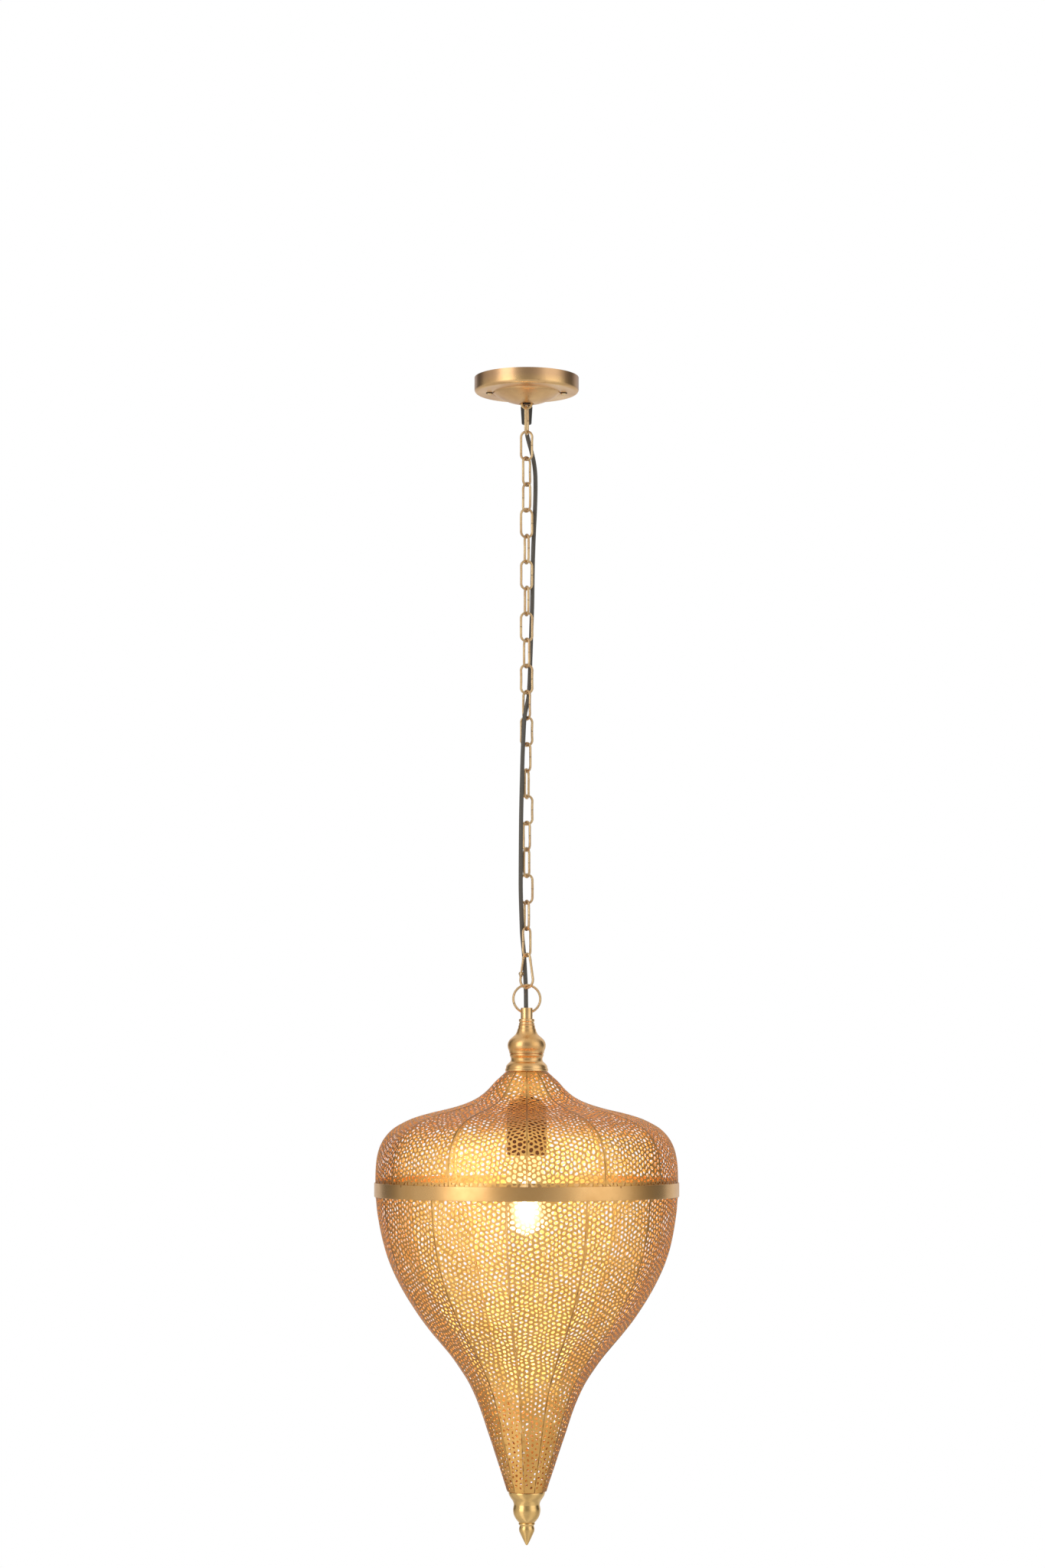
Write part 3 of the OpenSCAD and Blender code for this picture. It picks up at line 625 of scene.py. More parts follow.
def link_mesh(k):
    r = np.random.default_rng(100 + k)
    leg = HALF - LR
    pts = []
    # starts in the middle of the right leg, where the weld is on most links
    for z in np.linspace(0, leg, 15)[:-1]:
        pts.append((LR, z))
    for a in np.linspace(0, 180, 37)[:-1]:
        pts.append((LR * math.cos(math.radians(a)), leg + LR * math.sin(math.radians(a))))
    for z in np.linspace(leg, -leg, 29)[:-1]:
        pts.append((-LR, z))
    for a in np.linspace(180, 360, 37)[:-1]:
        pts.append((LR * math.cos(math.radians(a)), -leg + LR * math.sin(math.radians(a))))
    for z in np.linspace(-leg, 0, 15)[:-1]:
        pts.append((LR, z))
    P = np.array([(x, 0, z) for x, z in pts])
    # slightly uneven bending: legs bow in or out, less than the air between the wires
    bow = r.uniform(-0.28, 0.12, 2)
    w = np.clip(1 - (np.abs(P[:, 2]) / leg) ** 2, 0, 1)
    P[:, 0] += np.where(P[:, 0] > 0, bow[0], -bow[1]) * w
    P[:, 1] += 0.10 * np.sin(P[:, 2] / 6 + r.uniform(0, 6)) * w
    side = -1 if k in (21, 4, 9, 15) else 1
    s = np.abs(P[:, 2]) + np.where(P[:, 0] * side > 0, 0, 99)
    # add closer rings at the weld
    Q, rad, tint = [], [], []
    n = len(P)
    fine = []
    for i in range(n):
        Q.append(P[i])
        a_, b_ = P[i], P[(i + 1) % n]
        if min(s[i], s[(i + 1) % n]) < 1.6:
            for t in (0.25, 0.5, 0.75):
                Q.append(a_ + (b_ - a_) * t)
    Q = np.array(Q)
    sw = np.abs(Q[:, 2]) + np.where(Q[:, 0] * side > 0, 0, 99)
    rad = 1.4 + 0.02 * np.sin(Q[:, 2] * 0.7 + r.uniform(0, 6))
    rad = rad + 0.07 * np.exp(-((sw - 0.7) / 0.35) ** 2) - 0.16 * np.exp(-(sw / 0.25) ** 2)
    tint = 0.75 * np.exp(-(sw / 0.38) ** 2) + 0.18 * np.exp(-((HALF + 0.6 - np.abs(Q[:, 2])) / 2.2) ** 2)
    Q = rotz(Q, LINK_TURN[k - 1])
    Q[:, 2] += -50.1 - PITCH * (k - 1)
    t = math.radians(LINK_TURN[k - 1])
    return tube("link_%02d_wire" % k, Q, rad, M["chain"], 20, closed=True, normal=(-math.sin(t), math.cos(t), 0), attrs=np.clip(tint, 0, 1))


for k in range(1, 22):
    o = link_mesh(k)
    place(o, "chain_link_%02d" % k, "link_%02d" % k)

# ------------------------------------------------------------------ hook, gate, ring
HT, HL, H1, H2, HTURN = -675.9, 39.4, 5.0, 9.4, -40
lean = math.asin((H2 - H1) / (HL - H1 - H2))
HZ2 = HT - HL + H2
p1 = np.array([H1 * math.cos(lean), 0, HT - H1 + H1 * math.sin(lean)])
p2 = np.array([H2 * math.cos(lean), 0, HZ2 + H2 * math.sin(lean)])
lf = lambda p: np.array([-p[0], 0, p[2]])
foot = lf(p2 + 0.22 * (p1 - p2))
head = lf(p2 + 0.9 * (p1 - p2))
gd = (head - foot) / np.linalg.norm(head - foot)
hk = []
start = head + 0.35 * gd
for t in np.linspace(0, 1, 7)[:-1]:
    hk.append(start + (lf(p1) - start) * t)
for a in np.linspace(math.pi - lean, lean, 33):
    hk.append(np.array([H1 * math.cos(a), 0, HT - H1 + H1 * math.sin(a)]))
for t in np.linspace(0, 1, 22)[1:-1]:
    hk.append(p1 + (p2 - p1) * t)
for a in np.linspace(lean, -math.pi - lean, 61):
    hk.append(np.array([H2 * math.cos(a), 0, HZ2 + H2 * math.sin(a)]))
for t in np.linspace(0, 1, 6)[1:]:
    hk.append(lf(p2) + (foot - 2.3 * gd - lf(p2)) * t)
hk = np.array(hk)
seglen = np.r_[0, np.cumsum(np.linalg.norm(np.diff(hk, axis=0), axis=1))]
rad = np.full(len(hk), 1.42)
rad += 0.26 * np.exp(-((seglen - 1.2) / 1.6) ** 2)            # nose
mirror = np.linalg.norm(hk - (p2 + 0.88 * (p1 - p2)), axis=1)
rad += 0.22 * np.exp(-(mirror / 1.3) ** 2)                     # the bump opposite the nose
rad += 0.6 * np.exp(-((seglen[-1] - seglen) / 1.0) ** 2)       # shoulder of the fork
body_ = tube("hook_wire", rotz(hk, HTURN), rad, M["chain"], 20, normal=(math.sin(math.radians(40)), math.cos(math.radians(40)), 0), attrs=0.15 * np.exp(-(mirror / 1.0) ** 2))
ears = []
for s in (-1, 1):
    ear = tube("ear", [foot + np.array([0, s * 1.15, 0]), foot + np.array([0, s * 1.3, 0]), foot + np.array([0, s * 2.0, 0]), foot + np.array([0, s * 2.1, 0])], [2.15, 2.2, 2.2, 2.05], M["chain"], 32)
    a0, a1 = foot - 2.6 * gd + np.array([0, s * 1.6, 0]), foot + np.array([0, s * 1.6, 0])
    st = tube("earstem", [a0, a1], 0.52, M["chain"], 12)
    ears += [ear, st]
for e in ears:
    e.data.transform(Matrix.Rotation(math.radians(HTURN), 4, "Z"))
for e in ears:
    a = e.data.attributes.new("tint", "FLOAT", "POINT")
o = join([body_] + ears, "snap_hook_body")
place(o, "snap_hook", "hook")

g_pts = [foot + gd * s for s in np.linspace(2.2, np.linalg.norm(head - foot) - 0.02, 14)]
g_rad = [0.95, 1.2, 1.27] + [1.28] * 8 + [1.3, 1.34, 1.3]
g1 = tube("gate_bar", rotz(g_pts, HTURN), g_rad, M["chain"], 20, attrs=[0.1] * 14)
g2 = tube("gate_eye", rotz([foot + np.array([0, -0.95, 0]), foot + np.array([0, 0.95, 0])], HTURN), 1.7, M["chain"], 32, attrs=[0, 0])
g3 = tube("gate_neck", rotz([foot, foot + gd * 2.6], HTURN), 0.94, M["chain"], 16, attrs=[0, 0])
o = join([g1, g2, g3], "hook_gate_bar")
place(o, "hook_gate", "gate")

RZ, RR, RY, RT = -712.1 - 15.9, 15.9, -0.8, 12
rp = [(RR * math.cos(a), RY, RZ + RR * math.sin(a)) for a in np.linspace(0, TAU, 121)[:-1]]
t_ = math.radians(RT)
o = tube("neck_ring_wire", rotz(rp, RT), 1.4 + 0.02 * np.sin(np.linspace(0, 4 * TAU, 120)), M["chain"], 24, closed=True, normal=(-math.sin(t_), math.cos(t_), 0),
         attrs=0.5 * np.exp(-(((np.linspace(0, 360, 120) - 200)) / 1.6) ** 2))
place(o, "neck_ring", "ring")

# ------------------------------------------------------------------ turned neck
tube_z = RZ - RR + 1.4
top = tube_z + 4.1
o = lathe("neck_tube_body", [(6.25, top - 0.03), (6.65, top - 0.03), (6.9, top - 0.35), (6.9, hang(-743.35)), (6.5, hang(-743.45)), (6.5, hang(-749.9)), (5.05, hang(-749.9)), (5.05, hang(-741.2)), (6.25, hang(-740.2))], M["neck"], 96, 1.0, corner=30)
hole = tube("h", rotz([(-20, RY, tube_z), (20, RY, tube_z)], RT), 2.15, None, 48)
cut(o, [hole])
place(o, "neck_tube", "lantern")
o = lathe("neck_collar_ring", hung([(6.92, -736.6), (8.0, -736.6), (8.7, -737.0), (9.05, -737.8), (9.05, -739.0), (8.7, -739.9), (8.35, -740.4), (8.35, -741.2), (8.8, -741.6), (9.1, -742.2), (9.1, -743.0), (8.9, -743.4), (6.92, -743.4)]), M["neck"], 96, 0.4, corner=48)
place(o, "neck_collar", "lantern")
o = lathe("neck_vase_body", hung([(6.52, -743.42), (8.6, -743.42), (9.1, -743.9), (9.6, -745), (9.6, -746.3), (9.9, -747.2), (10.5, -748.7), (11.4, -751.5), (13, -754.4), (15.8, -757.1), (18.8, -759.7),
                             (20.8, -762.4), (21.8, -765.2), (22, -768), (21.5, -770.6), (20.5, -773.2), (20.1, -775.0), (20.0, -776.35), (5.02, -776.35), (5.02, -774), (16, -773), (18.5, -770), (18.5, -766), (16, -761.5), (11, -756.6), (8.5, -752), (6.52, -750.4)]),
          M["vase"], 128, 0.8, corner=40)
place(o, "neck_vase", "lantern")
o = lathe("shade_flange_body", hung([(5.02, -776.42), (18.7, -776.42), (19.3, -776.9), (19.5, -777.8), (19.3, -779.4), (18.5, -781), (18.2, -783.4), (19.2, -785.9), (21.4, -787.9), (23.2, -790.2), (23.9, -792.2),
                                (24.0, -793.4), (24.6, -794.1), (24.7, -795.6), (24.5, -797.0), (24.0, -797.45), (5.02, -797.45), (5.02, -792), (16, -791), (16, -779.5), (5.02, -778.8)]),
          M["vase"], 128, 0.8, corner=40)
place(o, "shade_flange", "lantern")

# ------------------------------------------------------------------ lampholder and bulb
HZ = hang(-826.0)
o = lathe("lampholder_cap_body", [(5.02, HZ), (8.6, HZ), (9, HZ - 0.5), (9, HZ - 2), (14, HZ - 3.2), (18.6, HZ - 6.2), (21.6, HZ - 10.4), (22.6, HZ - 15), (22.6, HZ - 18.8), (21.2, HZ - 18.8), (21.2, HZ - 15),
                                  (20, HZ - 11), (17.4, HZ - 7.6), (13, HZ - 4.8), (8, HZ - 3.6), (5.02, HZ - 3.6)], M["holder"], 96, 1.0, corner=35)
place(o, "lampholder_cap", "lantern")
o = lathe("lampholder_sleeve_body", [(21.2, HZ - 19.2), (22.4, HZ - 19.2), (22.6, HZ - 19.6), (22.6, HZ - 66), (22.2, HZ - 67.5), (20.8, HZ - 67.5), (21.2, HZ - 66)], M["holder"], 96, 1.5, corner=30)
place(o, "lampholder_sleeve", "lantern")
bz = HZ - 36
BR, BC = 30.0, hang(-954.0)
bp = [(0, bz - 27.15), (12.6, bz - 27.15), (13.2, bz - 28), (13.6, bz - 31), (14.8, bz - 37), (17.4, bz - 45), (21, bz - 54), (24, bz - 61)]
bp += [(BR * math.cos(math.radians(a)), BC + BR * math.sin(math.radians(a))) for a in range(28, -90, -13)] + [(0, BC - BR)]
o = lathe("bulb_globe", bp, M["bulb"], 96, 2.0, corner=50)
place(o, "bulb_glass", "lantern")

# ------------------------------------------------------------------ band
BANDR = 175.2
sc = []
prof = [(BANDR - 0.8, -941), (BANDR - 0.25, -941), (BANDR - 0.02, -940.8), (BANDR, -940.5), (BANDR, -925.5), (BANDR - 0.02, -925.2), (BANDR - 0.25, -925), (BANDR - 0.8, -925)]
o = lathe("band_hoop", hung(prof), M["band"], 384, 4.0, wob=0.0, corner=20, sharp=30)
nicks = []
for a in (-143.5, -53.5, 36.5, 126.5):
    bx = box_mesh("n", (170, -0.55, hang(-931.5) + 4.3), (180, 0.55, hang(-920)))
    bx.data.transform(Matrix.Rotation(math.radians(a), 4, "Z"))
    nicks.append(bx)
cut(o, nicks)
place(o, "band", "lower_shade")

# ------------------------------------------------------------------ finial
fin = [(3.05, -1280.3), (20.2, -1280.3), (20.7, -1280.7), (20.8, -1281.6), (20.7, -1282.9), (20.2, -1284.3), (19.3, -1286.2), (18.0, -1288.2), (16.2, -1290.8), (15.1, -1293.4), (14.8, -1295.4),
       (15.1, -1297.4), (15.6, -1300.2), (15.5, -1303.2), (14.9, -1306.6), (13.6, -1309.8), (11.8, -1312.6), (10.0, -1314.8), (9.2, -1315.7), (8.9, -1315.95), (3.05, -1315.95)]
o = lathe("finial_cup_body", hung(fin), M["finial"], 128, 0.8, corner=40)
place(o, "finial_cup", "lower_shade")
tip = [(3.05, -1316.05), (8.9, -1316.05), (9.35, -1316.6), (9.4, -1317.4), (9.0, -1318.2), (8.4, -1318.7), (8.0, -1319.5), (8.2, -1320.4), (8.7, -1321.8), (8.8, -1323.8), (8.4, -1326.2), (7.2, -1329), (5.8, -1332),
       (4.2, -1335.4), (2.6, -1338.6), (1.4, -1340.8), (0.7, -1341.7), (0, -1341.95), (0, -1322.05), (3.05, -1322.05)]
o = lathe("finial_tip_body", hung(tip), M["finial"], 96, 0.6, corner=40)
place(o, "finial_tip", "lower_shade")

# ------------------------------------------------------------------ pierced shade
UP = [(24.2, -797.6), (30, -803), (36, -808.5), (44.6, -818), (52, -824.5), (61, -830), (73, -835), (90, -840), (113, -845.5), (131, -851), (143, -856.5), (153, -862.5),
      (160, -869), (165.5, -876.5), (169.5, -885), (172, -894), (173.4, -904), (174, -915), (174, -929)]
LO = [(174.25, -934.5), (174.25, -940.5), (173.6, -943), (172.6, -957), (170.6, -972), (168.2, -986), (165, -1000), (160.6, -1014), (155, -1028), (148.2, -1042), (140.4, -1056),
      (131.6, -1070), (121.8, -1084.5), (111, -1098.5), (98.6, -1113), (87, -1127), (77, -1141), (68, -1155), (61, -1169), (55.2, -1183), (50.2, -1197), (45.6, -1211), (40.8, -1225),
      (36, -1239.5), (31.4, -1253.5), (26.6, -1267.5), (22.6, -1280)]


class Line:
    """A profile by its arc length."""

    def __init__(self, pts):
        P = np.array(smooth_profile(pts, 1.0, 60, closed=False))
        s = np.r_[0, np.cumsum(np.linalg.norm(np.diff(P, axis=0), axis=1))]
        self.L = s[-1]
        self.s = np.linspace(0, self.L, 600)
        self.P = np.c_[np.interp(self.s, s, P[:, 0]), np.interp(self.s, s, P[:, 1])]
        T = np.gradient(self.P, self.s, axis=0)
        # smooth the tangent a little so that the sheet's normals run evenly
        k = np.ones(9) / 9
        for c_ in (0, 1):
            T[:, c_] = np.convolve(np.pad(T[:, c_], 4, "edge"), k, "valid")
        self.T = T / np.linalg.norm(T, axis=1)[:, None]

    def at(self, v):
        r = np.interp(v, self.s, self.P[:, 0])
        z = np.interp(v, self.s, self.P[:, 1])
        tr = np.interp(v, self.s, self.T[:, 0])
        tz = np.interp(v, self.s, self.T[:, 1])
        n = np.hypot(tr, tz)
        return r, z, tr / n, tz / n


def gore(name, line, first, i, seed, solid_top, solid_bottom, flat, mat, open_f):
    """One pierced sheet. u is the distance across it and v along it, in mm."""
    r_ = np.random.default_rng(seed)
    gap = 0.10
    pitch = 6.2
    margin = 1.15
    rmax = line.P[:, 0].max()
    turn_ = math.radians(r_.uniform(14, 46)) * (1 if r_.random() < 0.5 else -1)
    half_l, half_w = line.L / 2 + 8, rmax * math.pi / 12 + 8
    ru = half_l * abs(math.sin(turn_)) + half_w * math.cos(turn_)
    rv = half_l * math.cos(turn_) + half_w * abs(math.sin(turn_))
    rows = 2 * int(rv / (pitch * 0.866)) + 3
    half_cols = int(ru / pitch) + 2
    nc = 2 * half_cols + 1
    bb, aa = np.meshgrid(np.arange(nc), np.arange(rows))
    off = r_.uniform(-0.5, 0.5, 2) * pitch
    gx = (bb - half_cols + 0.5 * (aa % 2)) * pitch + off[0]
    gy = (aa - rows // 2) * pitch * 0.866 + off[1]
    lat = np.stack([gx * math.cos(turn_) - gy * math.sin(turn_), gx * math.sin(turn_) + gy * math.cos(turn_) + line.L / 2], -1)
    # rows that wander as they do when pierced by hand
    for _ in range(7):
        wl = r_.uniform(3.0, 8.0) * pitch
        an, ph_ = r_.uniform(0, TAU, 2)
        wave = np.sin((lat[..., 0] * math.cos(an) + lat[..., 1] * math.sin(an)) * TAU / wl + ph_)
        dr = r_.uniform(0, TAU)
        amp = 0.020 * wl
        lat = lat + np.stack([wave * amp * math.cos(dr), wave * amp * math.sin(dr)], -1)
    lat += r_.uniform(-0.5, 0.5, lat.shape) * pitch * 0.78
    # corners of the cells: the middles of the lattice's triangles
    up = np.full((rows, nc, 2), np.nan)    # triangle with its base on row a, tip on row a+1
    dn = np.full((rows, nc, 2), np.nan)
    for a in range(rows - 1):
        for b_ in range(nc - 1):
            o_ = a % 2
            t1 = b_ + o_
            if t1 < nc:
                up[a, b_] = (lat[a, b_] + lat[a, b_ + 1] + lat[a + 1, t1]) / 3
            # inverted triangle: two points on row a+1, one on row a
            t0 = b_ + (a + 1) % 2
            if t0 < nc:
                dn[a, b_] = (lat[a + 1, b_] + lat[a + 1, b_ + 1] + lat[a, t0]) / 3
    V, F, key = [], [], {}

    def vid(u, v):
        k_ = (round(u * 500), round(v * 500))
        j = key.get(k_)
        if j is None:
            j = len(V)
            key[k_] = j
            V.append((u, v))
        return j

    def halfw(v):
        v = min(max(v, 0), line.L)
        return np.interp(v, line.s, line.P[:, 0]) * math.pi / 12 - gap

    def clip(poly, side, lim):
        """Cuts a polygon of (u, v) at a limit: side 'v0' 'v1' keep inside, 'u' works on u / halfwidth."""
        def f_(p):
            if side == "v0":
                return p[1] - lim
            if side == "v1":
                return lim - p[1]
            if side == "u1":
                return 1 - p[0] / halfw(p[1])
            return 1 + p[0] / halfw(p[1])
        out = []
        n = len(poly)
        for q in range(n):
            A_, B_ = poly[q], poly[(q + 1) % n]
            fa, fb = f_(A_), f_(B_)
            if fa >= 0:
                out.append(A_)
            if (fa > 0 > fb) or (fa < 0 < fb):
                # same crossing whichever way the edge runs
                if (A_[0], A_[1]) < (B_[0], B_[1]):
                    lo, hi, fl, fh = A_, B_, fa, fb
                else:
                    lo, hi, fl, fh = B_, A_, fb, fa
                t = fl / (fl - fh)
                x = (lo[0] + (hi[0] - lo[0]) * t, lo[1] + (hi[1] - lo[1]) * t)
                if side in ("u1", "u0"):
                    x = (math.copysign(halfw(x[1]), x[0]), x[1])
                out.append(x)
        return out

    for a in range(1, rows - 1):
        for b_ in range(1, nc - 1):
            o_ = a % 2
            if not -9 < lat[a, b_, 1] < line.L + 9 or abs(lat[a, b_, 0]) > half_w:
                continue
            # six corners round lattice point (a, b_)
            c6 = [up[a, b_], dn[a, b_ - 1 + o_] if 0 <= b_ - 1 + o_ < nc else None, up[a, b_ - 1],
                  dn[a - 1, b_ - 1], up[a - 1, b_ - 1 + o_] if 0 <= b_ - 1 + o_ < nc else None, dn[a - 1, b_]]
            if any(c_ is None or np.isnan(c_[0]) for c_ in c6):
                continue
            poly = []
            for q in range(6):
                A_, B_ = c6[q], c6[(q + 1) % 6]
                poly.append((float(A_[0]), float(A_[1])))
                poly.append((float((A_[0] + B_[0]) / 2), float((A_[1] + B_[1]) / 2)))
            ctr = np.mean(poly, axis=0)
            vs = [p[1] for p in poly]
            if max(vs) <= 0 or min(vs) >= line.L:
                continue
            if all(abs(p[0]) > halfw(p[1]) for p in poly):
                continue
            crosses = not (min(vs) > 0.01 and max(vs) < line.L - 0.01 and all(abs(p[0]) < halfw(p[1]) - 0.02 for p in poly))
            if crosses:
                for side, lim in (("v0", 0.0), ("v1", line.L), ("u1", 0), ("u0", 0)):
                    poly = clip(poly, side, lim)
                    if len(poly) < 3:
                        break
                if len(poly) < 3:
                    continue
                # free edges along the seam take more corners, so that a hole beside them stays round
                full = []
                for q in range(len(poly)):
                    A_, B_ = poly[q], poly[(q + 1) % len(poly)]
                    full.append(A_)
                    on = lambda p: abs(abs(p[0]) - halfw(p[1])) < 0.02
                    L_e = math.hypot(A_[0] - B_[0], A_[1] - B_[1])
                    if on(A_) and on(B_) and L_e > 1.4:
                        k_ = int(L_e / 0.9)
                        for t in range(1, k_):
                            full.append((A_[0] + (B_[0] - A_[0]) * t / k_, A_[1] + (B_[1] - A_[1]) * t / k_))
                poly = full
            pa = np.array(poly)
            x1_, y1_ = np.roll(pa[:, 0], -1), np.roll(pa[:, 1], -1)
            cr = pa[:, 0] * y1_ - x1_ * pa[:, 1]
            area = abs(cr.sum()) / 2
            if area < 1e-4:
                continue
            ctr = np.array([((pa[:, 0] + x1_) * cr).sum(), ((pa[:, 1] + y1_) * cr).sum()]) / (3 * cr.sum())
            hole = None
            if area > 0.20 * pitch * pitch and solid_top < ctr[1] < line.L - solid_bottom:
                d = pa - ctr
                L_ = np.linalg.norm(d, axis=1)
                ang = np.arctan2(d[:, 1], d[:, 0])
                # a slanted oval or a soft triangle, squeezed to the room in the cell
                big = math.sqrt(area / 2.9) * (open_f(ctr[1] / line.L) + 0.10 * r_.random())
                el = r_.uniform(0.14, 0.44) if r_.random() < 0.85 else 0.04
                M2 = np.cov(d.T)
                w2, v2 = np.linalg.eigh(M2)
                lean = math.atan2(v2[1, 1], v2[0, 1]) + r_.normal(0, 0.45)
                rr = big * (1 + el * np.cos(2 * (ang - lean))) / (1 + 0.25 * el)
                rr = rr * (1 + r_.uniform(0.0, 0.14) * np.cos(3 * ang + r_.uniform(0, TAU)))
                rr = np.minimum(rr, L_ - 0.55)
                rr = 0.25 * np.roll(rr, 1) + 0.5 * rr + 0.25 * np.roll(rr, -1)
                rr = np.maximum(np.minimum(rr, L_ - 0.42), 0.3)
                h = ctr + np.c_[rr * np.cos(ang), rr * np.sin(ang)]
                lim = np.array([halfw(x[1]) for x in h]) - margin
                h[:, 0] = np.clip(h[:, 0], -lim, lim)
                h[:, 1] = np.clip(h[:, 1], 1.2, line.L - 1.2)
                wid = h[:, 0].max() - h[:, 0].min()
                hgt = h[:, 1].max() - h[:, 1].min()
                if min(wid, hgt) > 1.0 and lim.min() > 0.5 and abs(ctr[0]) < halfw(ctr[1]) - margin - 0.3:
                    hole = h
            ids = []
            keep_i = []
            for q, p in enumerate(poly):
                j = vid(*p)
                if not ids or (ids[-1] != j and ids[0] != j):
                    ids.append(j)
                    keep_i.append(q)
            if len(ids) < 3:
                continue
            if hole is not None:
                in_ids = []
                for q in keep_i:
                    in_ids.append(len(V))
                    V.append((float(hole[q][0]), float(hole[q][1])))
                n_ = len(ids)
                for q in range(n_):
                    t = (q + 1) % n_
                    F.append((ids[q], ids[t], in_ids[t], in_ids[q]))
            else:
                F.append(tuple(ids))
    UV = np.array(V)
    u, v = UV[:, 0], np.clip(UV[:, 1], 0, line.L)
    r, z, tr, tz = line.at(v)
    th = u / r
    mid = math.radians(first + (i + 0.5) * 30)
    # flatter than a round surface between the seams, and beaten a little unevenly
    fl = flat * np.clip((v / line.L) * 6, 0, 1) * np.clip((1 - v / line.L) * 8, 0, 1)
    x = np.clip(np.abs(th) / (math.pi / 12), 0, 1)
    dent = -fl * (1 - x**2) * np.clip(r / 120, 0.15, 1)
    for _ in range(5):
        cu, cv, w_ = r_.uniform(-30, 30), r_.uniform(0, line.L), r_.uniform(14, 34)
        dent = dent - r_.uniform(-0.25, 0.55) * np.exp(-(((u - cu) / w_) ** 2 + ((v - cv) / w_) ** 2)) * np.clip(fl / max(flat, 1e-6), 0, 1)
    # outward normal of the profile: tangent (tr, tz) turned to the outside
    nr, nz = -tz, tr
    if np.mean(nr) < 0:
        nr, nz = -nr, -nz
    er = np.c_[np.cos(mid + th), np.sin(mid + th)]
    N = np.c_[er[:, 0] * nr, er[:, 1] * nr, nz]
    P = np.c_[er[:, 0] * r, er[:, 1] * r, z] + N * (dent - 0.02)[:, None]
    Pin = P - N * 0.45
    nV = len(P)
    # face direction: outward
    f0 = [f_ for f_ in F if len(f_) >= 3][0]
    a_, b2, c_ = P[f0[0]], P[f0[1]], P[f0[2]]
    flip = float(np.cross(b2 - a_, c_ - b2) @ N[f0[0]]) < 0
    if flip:
        F = [tuple(reversed(f_)) for f_ in F]
    faces = list(F) + [tuple(j + nV for j in reversed(f_)) for f_ in F]
    und = {}
    for f_ in F:
        n = len(f_)
        for q in range(n):
            und[(f_[q], f_[(q + 1) % n])] = 1
    for (a2, b2) in list(und):
        if (b2, a2) not in und:
            faces.append((b2, a2, a2 + nV, b2 + nV))
    allV = np.r_[P, Pin] * MM
    hw = np.interp(v, line.s, line.P[:, 0]) * math.pi / 12
    edge = np.clip(hw - np.abs(u), 0, 40)
    return mesh_obj(name, allV, faces, mat, 45, {"edge": np.r_[edge, edge], "inner": np.r_[np.zeros(len(P)), np.ones(len(P))]})


def shade(prefix, line, first, nodename, body, seed0, top, bottom, flat, open_f):
    for i in range(12):
        o = gore("%s_%02d" % (prefix, i + 1), line, first, i, seed0 + i, top, bottom, flat, M["pierced"], open_f)
        if i == 0:
            place(o, nodename, body)
        else:
            place(o, nodename, body)


shade("upper_gore", Line(hung(UP)), -90, "upper_gores", "lantern", 1000, 3.0, 3.5, 1.6, lambda t: 0.56 + 0.09 * min(1, t * 1.6))
shade("lower_gore", Line(hung(LO)), -97.5, "lower_gores", "lower_shade", 2000, 6.0, 4.0, 2.2, lambda t: 0.64 - 0.14 * min(1, t * 1.7) - 0.11 * max(0, (t - 0.70) / 0.30))

# ------------------------------------------------------------------ flex
ROUTE = [(0, 16, -38), (0, 16, -52.5), (0.5, 15.8, -62), (2.5, 15.2, -71), (5.5, 14, -82), (8.4, 12, -95), (10, 10, -108), (10.4, 8.4, -122),
         (10.2, 7.6, -138), (9.6, 7.6, -156), (8.6, 8.2, -176), (7.8, 8.8, -196), (7.2, 9.2, -216), (6.8, 9.5, -240), (6.4, 9.7, -264), (5.6, 10, -286),
         (5, 10.2, -306), (4.3, 10, -326), (3.7, 9, -344), (3.1, 7, -357), (2.3, 4.2, -367.5), (0.2, 0, -378.5), (-1.9, -4.4, -389), (-3, -7, -400),
         (-3.8, -8.5, -416), (-4.6, -9.3, -434), (-5.2, -9.6, -454), (-5.8, -9.4, -478), (-6.3, -9, -502), (-6.6, -8.8, -526), (-6.8, -8.6, -550),
         (-6.9, -8, -572), (-6.9, -6.8, -588), (-6.6, -4.6, -602), (-6.2, -1.6, -615), (-5.8, 0.8, -627), (-5.3, 3, -639),
         (-4.4, 5, -649), (-3.4, 6.8, -659), (-2.6, 7.7, -670), (-1.9, 7.9, -682), (-1.3, 7.5, -694), (-0.9, 6.4, -706), (-0.8, 4.6, -717), (-0.7, 3.4, -723.5), (-0.7, 3.4, -731), (-0.4, 2, -736), (0, 0.8, -741), (0, 0.4, -748), (0, 0.4, -760)]


def flex_z(z):
    if z > -53:
        return z
    return -36.3 + 1.02 * (z + 35) if z > -665 else -678.9 + 1.025 * (z + 665)


ROUTE = [(x, y, flex_z(z)) for x, y, z in ROUTE]
line_ = catmull(ROUTE, 10)
CORD_D = 5.0


def at_z(z):
    """The point of the route at a height, which only falls along it."""
    zz = line_[:, 2]
    return np.array([np.interp(-z, -zz, line_[:, c_]) for c_ in (0, 1)] + [z])


